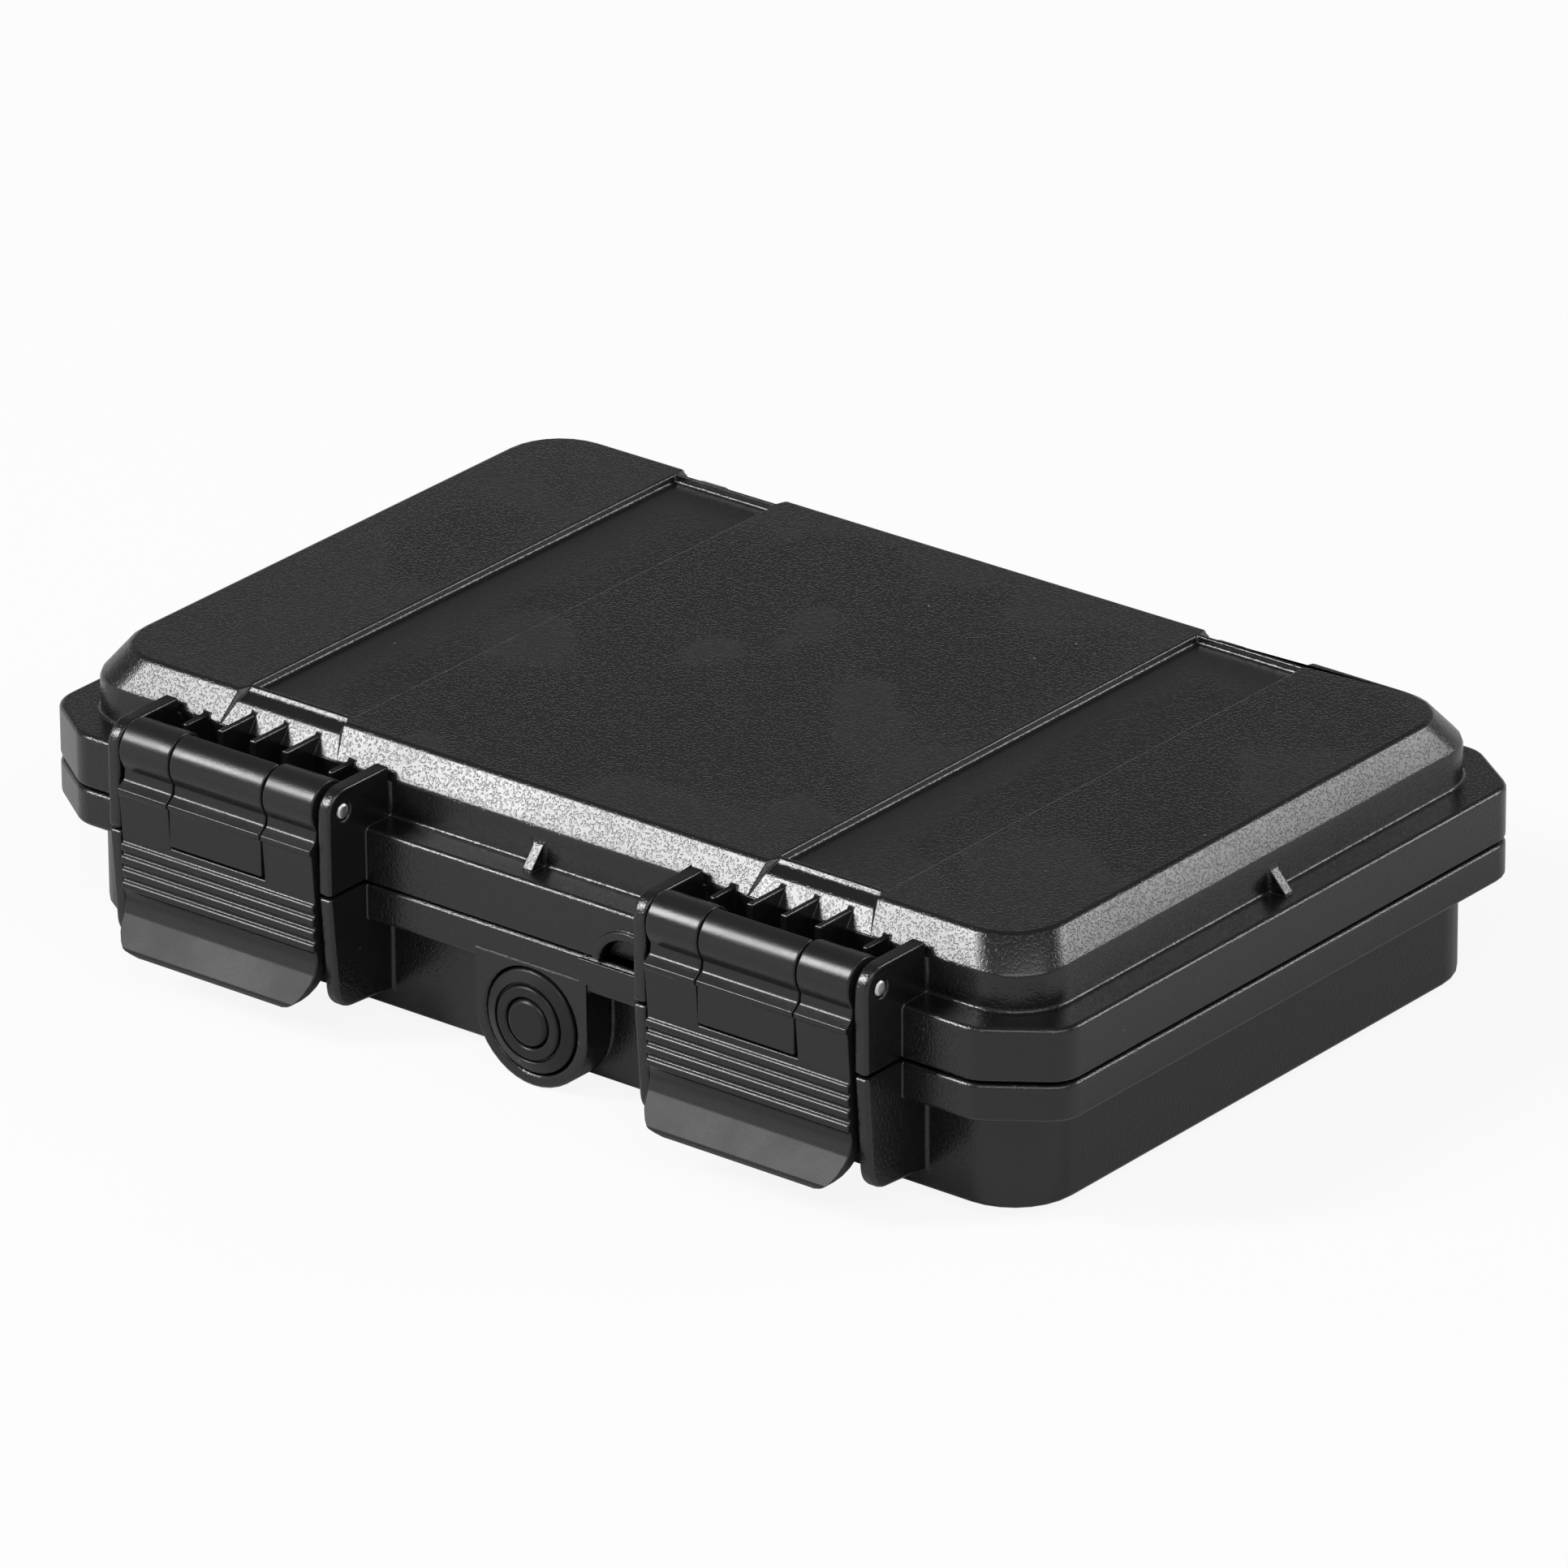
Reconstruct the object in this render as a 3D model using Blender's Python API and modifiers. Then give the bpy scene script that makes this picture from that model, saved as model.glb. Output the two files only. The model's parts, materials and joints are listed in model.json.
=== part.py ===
"""A compact hard case: two moulded shells with a gasket, two lever latches, two hinges and an air valve.

Metres, +Z up. The case lies on its base. The origin is the middle of the underside, the latches face -Y.
"""

import math

import bmesh
import bpy
from mathutils import Matrix, Vector

# Overall form
CASE_WIDTH = 0.2300
CASE_DEPTH = 0.1478
BASE_HEIGHT = 0.0289
LID_HEIGHT = 0.0231
PARTING_GAP = 0.0004
WALL = 0.0030
FLANGE_OVERHANG = 0.0068
FLANGE_CUT_X = 0.0135
FLANGE_CUT_Y = 0.0094
FLANGE_CORNER_ROUND = 0.0065
BASE_FLANGE_HEIGHT = 0.0072
LID_FLANGE_HEIGHT = 0.0103
FLANGE_EDGE_ROUND = 0.0006

# Lid dome
DOME_CORNER_RADIUS = 0.0114
DOME_CHAMFER_IN = 0.0040
DOME_CHAMFER_HEIGHT = 0.0058
DOME_EDGE_ROUND = 0.0004

# Base body
BASE_CORNER_RADIUS = 0.0128
BASE_FOOT_ROUND = 0.0010
FLOOR_EDGE = 0.0007

# Plinth under the base, on which the case rests
PLINTH_HEIGHT = 0.0019
PLINTH_INSET = 0.0080
PLINTH_TAPER = 0.0010
PLINTH_CORNER_RADIUS = 0.0080

# Stacking channels across the lid's top
CHANNEL_WIDTH = 0.0228
CHANNEL_DEPTH = 0.0015
CHANNEL_FLARE = 0.0014
CHANNEL_LIP_IN = 0.0023
CHANNEL_LIP_WIDTH = 0.0009
CHANNEL_LIP_DROP = 0.0009
CHANNEL_LIP_STEP = 0.0005
CHANNEL_END_DROP = 0.00195
CHANNEL_END_IN = 0.0015
CHANNEL_END_FOOT = 0.0004
CHANNEL_END_FLARE = 0.0022

# Seal
SEAL_INSET = 0.0052
GROOVE_WIDTH = 0.0034
GROOVE_DEPTH = 0.0042
GASKET_WIDTH = 0.0026
GASKET_HEIGHT = 0.0024
GASKET_EDGE_ROUND = 0.0008
TONGUE_WIDTH = 0.0012
SEAL_GAP = 0.0003

# Latches
LATCH_SPACING_SHARE = 0.5235
LATCH_WIDTH = 0.0448
LATCH_SIDE_GAP = 0.0006
PIVOT_OUT = 0.0056
PIVOT_RISE = 0.0159
ROLL_RADIUS = 0.0050
LEVER_FACE_OUT = 0.0052
LEVER_BACK_OUT = 0.0017
LEVER_CORNER_ROUND = 0.0045
WAIST_OUT = 0.0037
WAIST_RISE = 0.0122
LEDGE_OUT = 0.0039
LEDGE_RISE = 0.0104
NOSE_OUT = 0.0057
NOSE_RISE = 0.0091
NOSE_HEIGHT = 0.0009
FACE_RISE = 0.0078
RIB_COUNT = 4
RIB_PITCH = 0.00252
RIB_HEIGHT = 0.0012
RIB_FLANK = 0.0004
RIB_DEPTH = 0.0007
RIB_DROP = 0.0025
HOLLOW_OUT = 0.0041
HOLLOW_DROP = 0.0127
FLARE_OUT = 0.0049
FLARE_DROP = 0.0154
TAB_OUT = 0.0085
TAB_DROP = 0.0207
TAB_THICKNESS = 0.0019
TAB_FOOT_DROP = 0.0221
TAB_CORNER_ROUND = 0.0070

# Hook plate inside the lever
HOOK_WIDTH = 0.0213
HOOK_SIDE_GAP = 0.0003
HOOK_THICKNESS = 0.0019
HOOK_BACK_OUT = 0.0011
HOOK_STEP_GAP = 0.0007
CROSS_PLATE_INNER_OUT = 0.0033
TOE_REACH = 0.0046
TOE_HEIGHT = 0.0022
TOE_DROP = 0.0075
POCKET_FLOOR_GAP = 0.0014
LINK_OUT = 0.0006
LINK_RISE = 0.0018
HOOK_BACK_IN = 0.0034

# Catch on the base, which the hook's toe grips
CATCH_WIDTH = 0.0190
CATCH_HEIGHT = 0.0040
CATCH_REACH = 0.0051
CATCH_GAP = 0.0004

# Latch brackets and fins
BRACKET_WALL = 0.0029
BRACKET_FRONT_OUT = 0.0043
BRACKET_TOP_RISE = 0.0044
BRACKET_ROUND = 0.0045
BRACKET_BACK_ROUND = 0.0006
BRACKET_FOOT_DROP = 0.0221
BRACKET_FOOT_TAPER = 0.0016
BRACKET_HEEL_DROP = 0.0012
FIN_THICKNESS = 0.0013
FIN_SPACING = 0.0075
OUTER_FIN_OFFSET = 0.0169
FIN_TOP_RISE = 0.0003
FIN_FRONT_GAP = 0.0005
OUTER_FIN_TOP_DROP = 0.0015
OUTER_FIN_REACH = 0.0057
LEDGE_RIB_WIDTH = 0.0021
LEDGE_RIB_RISE = 0.0068
LEDGE_RIB_FOOT = 0.0004
LEDGE_RIB_REACH = 0.0036
LEDGE_RIB_OFFSET = 0.0030

# Pins
PIVOT_PIN_RADIUS = 0.0016
PIVOT_PIN_SHARE = 0.53
LINK_PIN_RADIUS = 0.0010
LINK_PIN_SHARE = 0.35
HINGE_PIN_RADIUS = 0.0016
PIN_CLEARANCE = 0.0001
PIN_END_GAP = 0.0002

# Hinges
HINGE_OUT = 0.0054
HINGE_RISE = 0.0077
HINGE_BARREL_RADIUS = 0.0050
KNUCKLE_RADIUS = 0.0043
KNUCKLE_WIDTH = 0.0332
EAR_WIDTH = 0.0061
HINGE_SIDE_GAP = 0.0003
EAR_HEEL_DROP = 0.0210
EAR_SHOULDER_DROP = 0.0150
EAR_SHOULDER_OUT = 0.0040

# Air valve and its pedestal
VALVE_X = 0.0033
PEDESTAL_RADIUS = 0.0127
PEDESTAL_OUT = 0.0003
PEDESTAL_LIFT = 0.0001
VALVE_SEAT_RADIUS = 0.0102
VALVE_SEAT_DEPTH = 0.0016
VALVE_RIM_RADIUS = 0.0099
VALVE_RIM_RISE = 0.0004
VALVE_DOME_RADIUS = 0.0075
VALVE_DOME_RISE = 0.0013
VALVE_MOAT_WIDTH = 0.0005
VALVE_MOAT_DEPTH = 0.0008
VALVE_FRONT_OUT = 0.0015
VALVE_STEM_RADIUS = 0.0046
VALVE_PORT_RADIUS = 0.0030
VALVE_CAP_RADIUS = 0.0045
VALVE_CAP_THICKNESS = 0.0012
VALVE_STEM_LENGTH = 0.0125
MEMBRANE_THICKNESS = 0.0006
NUT_RADIUS = 0.0066
NUT_THICKNESS = 0.0030
VALVE_GAP = 0.0003
SEAL_RING_RADIUS = 0.0060
SEAL_RING_WIDTH = 0.0018
SEAL_RING_GROOVE = 0.0008
SEAL_RING_TRIM = 0.0002

# Padlock notch between the latches
NOTCH_X = 0.0255
NOTCH_WIDTH = 0.0124
NOTCH_HEIGHT = 0.0050
NOTCH_DEPTH = 0.0024
HOOD_THICKNESS = 0.0018
HOOD_OUT = 0.0007
KEEPER_WIDTH = 0.0229
KEEPER_HEIGHT = 0.0053
KEEPER_OUT = 0.0004

# Facets, and the overrun of a cutter or of a root buried in the wall that carries it
CORNER_STEPS = 7
ROUND_STEPS = 4
ARC_STEPS = 20
PIN_SIDES = 20
BORE_SIDES = 24
VALVE_SIDES = 36
OVERRUN = 0.0040
WELD_DISTANCE = 0.000001
ROOT = 0.0020

# Heights and half sizes that follow
LID_BOTTOM = BASE_HEIGHT + PARTING_GAP
LID_TOP = LID_BOTTOM + LID_HEIGHT
LEDGE_TOP = LID_BOTTOM + LID_FLANGE_HEIGHT
HALF_X = CASE_WIDTH / 2
HALF_Y = CASE_DEPTH / 2
WALL_X = HALF_X - FLANGE_OVERHANG
WALL_Y = HALF_Y - FLANGE_OVERHANG
PIVOT = Vector((0, -HALF_Y - PIVOT_OUT, BASE_HEIGHT + PIVOT_RISE))
LINK = PIVOT + Vector((0, -LINK_OUT, LINK_RISE))
HINGE = Vector((0, HALF_Y + HINGE_OUT, BASE_HEIGHT + HINGE_RISE))
LATCH_SPACING = CASE_WIDTH * LATCH_SPACING_SHARE
ARM_WIDTH = (LATCH_WIDTH - HOOK_WIDTH) / 2 - HOOK_SIDE_GAP
PIVOT_PIN_DEPTH = ARM_WIDTH * PIVOT_PIN_SHARE
LINK_PIN_DEPTH = ARM_WIDTH * LINK_PIN_SHARE
VALVE_HEIGHT = PEDESTAL_RADIUS + PEDESTAL_LIFT
SIDES = {"left": -1, "right": 1}

# Colour, roughness and metallic value of each material
FINISHES = {
    "shell": ((0.020, 0.020, 0.021), 0.55, 0.0),
    "latch": ((0.028, 0.028, 0.029), 0.45, 0.0),
    "steel": ((0.620, 0.610, 0.590), 0.25, 1.0),
    "rubber": ((0.012, 0.012, 0.012), 0.80, 0.0),
    "valve": ((0.030, 0.030, 0.032), 0.50, 0.0),
}


def clear_scene():
    for obj in list(bpy.data.objects):
        bpy.data.objects.remove(obj, do_unlink=True)


def make_collection(name):
    collection = bpy.data.collections.new(name)
    bpy.context.scene.collection.children.link(collection)
    return collection


def make_material(name):
    colour, roughness, metallic = FINISHES[name]
    material = bpy.data.materials.new(name)
    material.use_nodes = True
    shader = material.node_tree.nodes["Principled BSDF"]
    shader.inputs["Base Color"].default_value = (*colour, 1)
    shader.inputs["Roughness"].default_value = roughness
    shader.inputs["Metallic"].default_value = metallic
    return material


clear_scene()
PARTS = make_collection("compact_hard_case")
CUTTERS = make_collection("cutters")
MATERIALS = {name: make_material(name) for name in FINISHES}


def add_object(name, mesh, collection):
    obj = bpy.data.objects.new(name, mesh)
    collection.objects.link(obj)
    return obj


def as_tool(obj):
    """Marks a shape that only cuts or joins another one."""
    obj.hide_render = True
    obj.display_type = "WIRE"
    return obj


def finish_part(obj, name, material, origin=None):
    """Names a finished piece, gives it its material and moves its origin to its joint's axis."""
    obj.name = name
    obj.data.name = name
    obj.data.materials.clear()
    obj.data.materials.append(MATERIALS[material])
    if origin is not None:
        obj.data.transform(Matrix.Translation(-origin))
        obj.location = origin
    obj.data.shade_smooth()
    obj.data.set_sharp_from_angle(angle=math.radians(32))
    CUTTERS.objects.unlink(obj)
    PARTS.objects.link(obj)
    obj.hide_render = False
    obj.display_type = "TEXTURED"
    return obj


def fillet(corners, steps=ROUND_STEPS):
    """Rounds a closed outline: each corner is (across, up, radius)."""
    outline = []
    for index, (x, y, radius) in enumerate(corners):
        here = Vector((x, y))
        back = Vector(corners[index - 1][:2]) - here
        ahead = Vector(corners[(index + 1) % len(corners)][:2]) - here
        if radius <= 0:
            outline.append(here)
            continue
        half_turn = back.angle(ahead) / 2
        reach = radius / math.tan(half_turn)
        centre = here + (back.normalized() + ahead.normalized()).normalized() * radius / math.sin(half_turn)
        start = here + back.normalized() * reach - centre
        sweep = start.angle_signed(here + ahead.normalized() * reach - centre)
        for step in range(steps + 1):
            outline.append(centre + Matrix.Rotation(-sweep * step / steps, 2) @ start)
    return outline


def arc(centre, radius, start, end, steps=ARC_STEPS):
    """Points on an arc, its angles in degrees."""
    angles = [math.radians(start + (end - start) * step / steps) for step in range(steps + 1)]
    return [Vector((centre[0] + radius * math.cos(a), centre[1] + radius * math.sin(a))) for a in angles]


def rounded_rectangle(half_x, half_y, radius, steps=CORNER_STEPS):
    corners = ((half_x, half_y), (-half_x, half_y), (-half_x, -half_y), (half_x, -half_y))
    return fillet([(x, y, radius) for x, y in corners], steps)


def flange_outline(inset=0):
    """The flange's plan: a rectangle whose corners are cut off, each cut's ends rounded."""
    half_x = HALF_X - inset
    half_y = HALF_Y - inset
    slant = math.hypot(FLANGE_CUT_X, FLANGE_CUT_Y)
    cut_x = FLANGE_CUT_X - inset * (1 + (FLANGE_CUT_X - slant) / FLANGE_CUT_Y)
    cut_y = FLANGE_CUT_Y - inset * (1 + (FLANGE_CUT_Y - slant) / FLANGE_CUT_X)
    quarter = [(half_x, half_y - cut_y), (half_x - cut_x, half_y)]
    corners = quarter + [(-x, y) for x, y in reversed(quarter)]
    corners += [(-x, -y) for x, y in corners]
    return fillet([(x, y, FLANGE_CORNER_ROUND) for x, y in corners])


def extrude(name, outlines, low, high, along="Z"):
    """A flat outline, with its holes, drawn out between two places along an axis.

    Along Z the outline is (x, y), along X it is (y, z) and along Y it is (x, z).
    """
    curve = bpy.data.curves.new(name, "CURVE")
    curve.dimensions = "2D"
    curve.fill_mode = "BOTH"
    curve.extrude = abs(high - low) / 2
    for outline in outlines:
        spline = curve.splines.new("POLY")
        spline.points.add(len(outline) - 1)
        for point, (x, y) in zip(spline.points, outline):
            point.co = (x, y, 0, 1)
        spline.use_cyclic_u = True
    drawn = add_object(name, curve, CUTTERS)
    bpy.context.view_layer.update()
    mesh = bpy.data.meshes.new_from_object(drawn.evaluated_get(bpy.context.evaluated_depsgraph_get()))
    bpy.data.objects.remove(drawn, do_unlink=True)
    weld(mesh)
    turns = {
        "Z": Matrix.Identity(3),
        "X": Matrix(((0, 0, 1), (1, 0, 0), (0, 1, 0))),
        "Y": Matrix(((1, 0, 0), (0, 0, -1), (0, 1, 0))),
    }
    middle = {"X": Vector((1, 0, 0)), "Y": Vector((0, 1, 0)), "Z": Vector((0, 0, 1))}[along] * (low + high) / 2
    mesh.transform(Matrix.Translation(middle) @ turns[along].to_4x4())
    return as_tool(add_object(name, mesh, CUTTERS))


def weld(mesh):
    work = bmesh.new()
    work.from_mesh(mesh)
    bmesh.ops.remove_doubles(work, verts=work.verts, dist=WELD_DISTANCE)
    bmesh.ops.recalc_face_normals(work, faces=work.faces)
    work.to_mesh(mesh)
    work.free()


def loft(name, rings):
    """A closed solid through level rings, each (outline, height)."""
    work = bmesh.new()
    levels = [[work.verts.new((x, y, height)) for x, y in outline] for outline, height in rings]
    for lower, upper in zip(levels, levels[1:]):
        for index in range(len(lower)):
            ahead = (index + 1) % len(lower)
            work.faces.new((lower[index], lower[ahead], upper[ahead], upper[index]))
    work.faces.new(reversed(levels[0]))
    work.faces.new(levels[-1])
    bmesh.ops.recalc_face_normals(work, faces=work.faces)
    mesh = bpy.data.meshes.new(name)
    work.to_mesh(mesh)
    work.free()
    return as_tool(add_object(name, mesh, CUTTERS))


def rod(name, radius, low, high, place, sides):
    """A cylinder along X between two places, about the point's Y and Z."""
    work = bmesh.new()
    bmesh.ops.create_cone(
        work, cap_ends=True, segments=sides, radius1=radius, radius2=radius, depth=high - low,
        matrix=Matrix.Translation(((low + high) / 2, place.y, place.z)) @ Matrix.Rotation(math.pi / 2, 4, "Y"),
    )
    mesh = bpy.data.meshes.new(name)
    work.to_mesh(mesh)
    work.free()
    return as_tool(add_object(name, mesh, CUTTERS))


def turned(name, profile, sides=VALVE_SIDES):
    """A turned piece facing -Y about the valve's axis: each profile point is (radius, distance out)."""
    mesh = bpy.data.meshes.new(name)
    points = [(radius, 0, out) for radius, out in profile]
    edges = [(index, (index + 1) % len(points)) for index in range(len(points))]
    if profile[0][0] == 0:
        edges.pop()
    mesh.from_pydata(points, edges, [])
    obj = as_tool(add_object(name, mesh, CUTTERS))
    screw = obj.modifiers.new("turn", "SCREW")
    screw.axis = "Z"
    screw.steps = sides
    screw.render_steps = sides
    screw.use_merge_vertices = True
    screw.merge_threshold = WELD_DISTANCE
    obj.location = (VALVE_X, -HALF_Y, VALVE_HEIGHT)
    obj.rotation_euler = (math.pi / 2, 0, 0)
    return obj


def box(name, low, high):
    work = bmesh.new()
    size = Vector(high) - Vector(low)
    middle = (Vector(high) + Vector(low)) / 2
    bmesh.ops.create_cube(work, size=1, matrix=Matrix.Translation(middle) @ Matrix.Diagonal((*size, 1)))
    mesh = bpy.data.meshes.new(name)
    work.to_mesh(mesh)
    work.free()
    return as_tool(add_object(name, mesh, CUTTERS))


def shape(body, operation, tools):
    for tool in tools:
        modifier = body.modifiers.new(tool.name, "BOOLEAN")
        modifier.operation = operation
        modifier.solver = "EXACT"
        modifier.object = tool
    return body


def latch_x(side):
    return side * LATCH_SPACING / 2


def out_from_pivot(out, height):
    """A point in the latch's (y, z) section, from its distance out of the pivot and its height."""
    return (PIVOT.y - out, height)


# Shells


def lid_bracket_outline():
    front = PIVOT.y - BRACKET_FRONT_OUT
    top = PIVOT.z + BRACKET_TOP_RISE
    inner = -WALL_Y + ROOT
    shoulder = LID_TOP - DOME_CHAMFER_HEIGHT - BRACKET_BACK_ROUND
    return fillet([
        (-WALL_Y, top, BRACKET_BACK_ROUND),
        (front, top, BRACKET_ROUND),
        (front, LID_BOTTOM, 0),
        (inner, LID_BOTTOM, 0),
        (inner, shoulder, 0),
        (-WALL_Y, shoulder, 0),
    ], CORNER_STEPS)


def base_bracket_outline():
    front = PIVOT.y - BRACKET_FRONT_OUT
    foot = BASE_HEIGHT - BRACKET_FOOT_DROP
    inner = -WALL_Y + WALL / 2
    return fillet([
        (inner, BASE_HEIGHT, 0),
        (front, BASE_HEIGHT, 0),
        (front + BRACKET_FOOT_TAPER, foot, BRACKET_ROUND),
        (inner, foot - BRACKET_HEEL_DROP, 0),
    ], CORNER_STEPS)


def bracket_pair(name, outline, side):
    """The two bracket walls beside one latch."""
    inner = LATCH_WIDTH / 2 + LATCH_SIDE_GAP
    walls = []
    for hand in SIDES.values():
        edges = sorted((latch_x(side) + hand * inner, latch_x(side) + hand * (inner + BRACKET_WALL)))
        walls.append(extrude(name, [outline], *edges, along="X"))
    return walls


def chamfer_y(height):
    """How far forward the dome's front chamfer is at a height."""
    share = (height - (LID_TOP - DOME_CHAMFER_HEIGHT)) / DOME_CHAMFER_HEIGHT
    return -WALL_Y + DOME_CHAMFER_IN * max(0, share)


def fins(side):
    """The gussets between the lid's front wall and the latch's roll."""
    top = PIVOT.z + BRACKET_TOP_RISE
    places = [(offset * FIN_SPACING, top + FIN_TOP_RISE, 0) for offset in (-1, 0, 1)]
    places += [(offset * OUTER_FIN_OFFSET, top - OUTER_FIN_TOP_DROP, 1) for offset in (-1, 1)]
    made = []
    for offset, height, is_outer in places:
        front = -WALL_Y - OUTER_FIN_REACH if is_outer else PIVOT.y + ROLL_RADIUS + FIN_FRONT_GAP
        outline = [
            (chamfer_y(height) + ROOT, LEDGE_TOP - ROOT),
            (front, LEDGE_TOP - ROOT),
            (front, height),
            (chamfer_y(height) + ROOT, height),
        ]
        middle = latch_x(side) + offset
        made.append(extrude("fin", [outline], middle - FIN_THICKNESS / 2, middle + FIN_THICKNESS / 2, along="X"))
    return made


def ledge_ribs():
    """The small ribs on the flange's ledge, one in the middle of each side."""
    made = []
    for along, wall in (("X", WALL_Y), ("Y", WALL_X)):
        for hand in SIDES.values():
            outline = [
                (hand * (wall - ROOT), LEDGE_TOP - ROOT),
                (hand * (wall + LEDGE_RIB_REACH), LEDGE_TOP - ROOT),
                (hand * (wall + LEDGE_RIB_REACH), LEDGE_TOP + LEDGE_RIB_FOOT),
                (hand * (wall - ROOT), LEDGE_TOP + LEDGE_RIB_RISE),
            ]
            middle = 0 if along == "X" else LEDGE_RIB_OFFSET
            edges = (middle - LEDGE_RIB_WIDTH / 2, middle + LEDGE_RIB_WIDTH / 2)
            made.append(extrude("ledge_rib", [outline], *edges, along=along))
    return made


def channel_cutters(side):
    """The shallow channel across the lid's top, and the flared recess beyond the lip at each of its ends."""
    half = CHANNEL_WIDTH / 2
    floor = LID_TOP - CHANNEL_DEPTH
    above = LID_TOP + OVERRUN
    lip = WALL_Y - DOME_CHAMFER_IN - CHANNEL_LIP_IN
    section = fillet([
        (latch_x(side) - half, floor, CHANNEL_DEPTH / 2),
        (latch_x(side) + half, floor, CHANNEL_DEPTH / 2),
        (latch_x(side) + half + CHANNEL_FLARE, above, 0),
        (latch_x(side) - half - CHANNEL_FLARE, above, 0),
    ])
    run_end = lip - CHANNEL_LIP_WIDTH
    cutters = [extrude("channel", [section], -run_end, run_end, along="Y")]
    foot = LID_TOP - DOME_CHAMFER_HEIGHT
    for hand in SIDES.values():
        end = [
            (hand * lip, above),
            (hand * lip, LID_TOP),
            (hand * (lip + CHANNEL_LIP_STEP), LID_TOP - CHANNEL_LIP_DROP),
            (hand * (lip + CHANNEL_END_IN), LID_TOP - CHANNEL_END_DROP),
            (hand * (WALL_Y - CHANNEL_END_FOOT), foot),
            (hand * HALF_Y, foot),
            (hand * HALF_Y, above),
        ]
        recess = extrude("channel_end", [end], -half, half, along="X")
        for vertex in recess.data.vertices:
            share = (abs(vertex.co.y) - lip) / (WALL_Y - lip)
            vertex.co.x *= 1 + CHANNEL_END_FLARE / half * share
            vertex.co.x += latch_x(side)
        cutters.append(recess)
    return cutters


def ring(name, centre_x, centre_y, radius, width, low, high):
    """A band round the case along the seal's line."""
    half = width / 2
    outer = rounded_rectangle(centre_x + half, centre_y + half, radius + half)
    inner = rounded_rectangle(centre_x - half, centre_y - half, radius - half)
    return extrude(name, [outer, inner], low, high)


def seal_ring(name, width, low, high):
    radius = DOME_CORNER_RADIUS + FLANGE_OVERHANG - SEAL_INSET
    return ring(name, HALF_X - SEAL_INSET, HALF_Y - SEAL_INSET, radius, width, low, high)


def hinge_knuckle(side):
    """The lid's middle knuckle: a barrel on a web from the flange."""
    barrel = arc((HINGE.y, HINGE.z), KNUCKLE_RADIUS, 90, -90)
    inner = WALL_Y - ROOT
    outline = [(inner, HINGE.z + KNUCKLE_RADIUS), *barrel, (inner, HINGE.z - KNUCKLE_RADIUS)]
    half = KNUCKLE_WIDTH / 2
    return extrude("hinge_knuckle", [outline], latch_x(side) - half, latch_x(side) + half, along="X")


def hinge_ears(side):
    """The base's two ears beside the knuckle, on legs that clear the lid's flange."""
    barrel = arc((HINGE.y, HINGE.z), HINGE_BARREL_RADIUS, 0, 180)
    shoulder = BASE_HEIGHT - PARTING_GAP - FLANGE_EDGE_ROUND
    inner = WALL_Y - WALL / 2
    legs = [
        (inner, shoulder),
        (inner, BASE_HEIGHT - EAR_HEEL_DROP),
        (HINGE.y, BASE_HEIGHT - EAR_SHOULDER_DROP),
        (HINGE.y + HINGE_BARREL_RADIUS, BASE_HEIGHT - EAR_SHOULDER_DROP + EAR_SHOULDER_OUT),
    ]
    outline = [*barrel, (HINGE.y - HINGE_BARREL_RADIUS, shoulder), *legs]
    made = []
    for hand in SIDES.values():
        start = KNUCKLE_WIDTH / 2 + HINGE_SIDE_GAP
        edges = sorted((latch_x(side) + hand * start, latch_x(side) + hand * (start + EAR_WIDTH)))
        made.append(extrude("hinge_ear", [outline], *edges, along="X"))
    return made


def notch_outline(grow=0):
    """The padlock notch's arch, standing on the parting line, as (x, z)."""
    half = NOTCH_WIDTH / 2 + grow
    height = NOTCH_HEIGHT + grow
    steps = ARC_STEPS
    points = []
    for step in range(steps + 1):
        angle = math.pi * step / steps
        points.append((NOTCH_X + half * math.cos(angle), LID_BOTTOM + height * math.sin(angle)))
    return points


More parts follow.
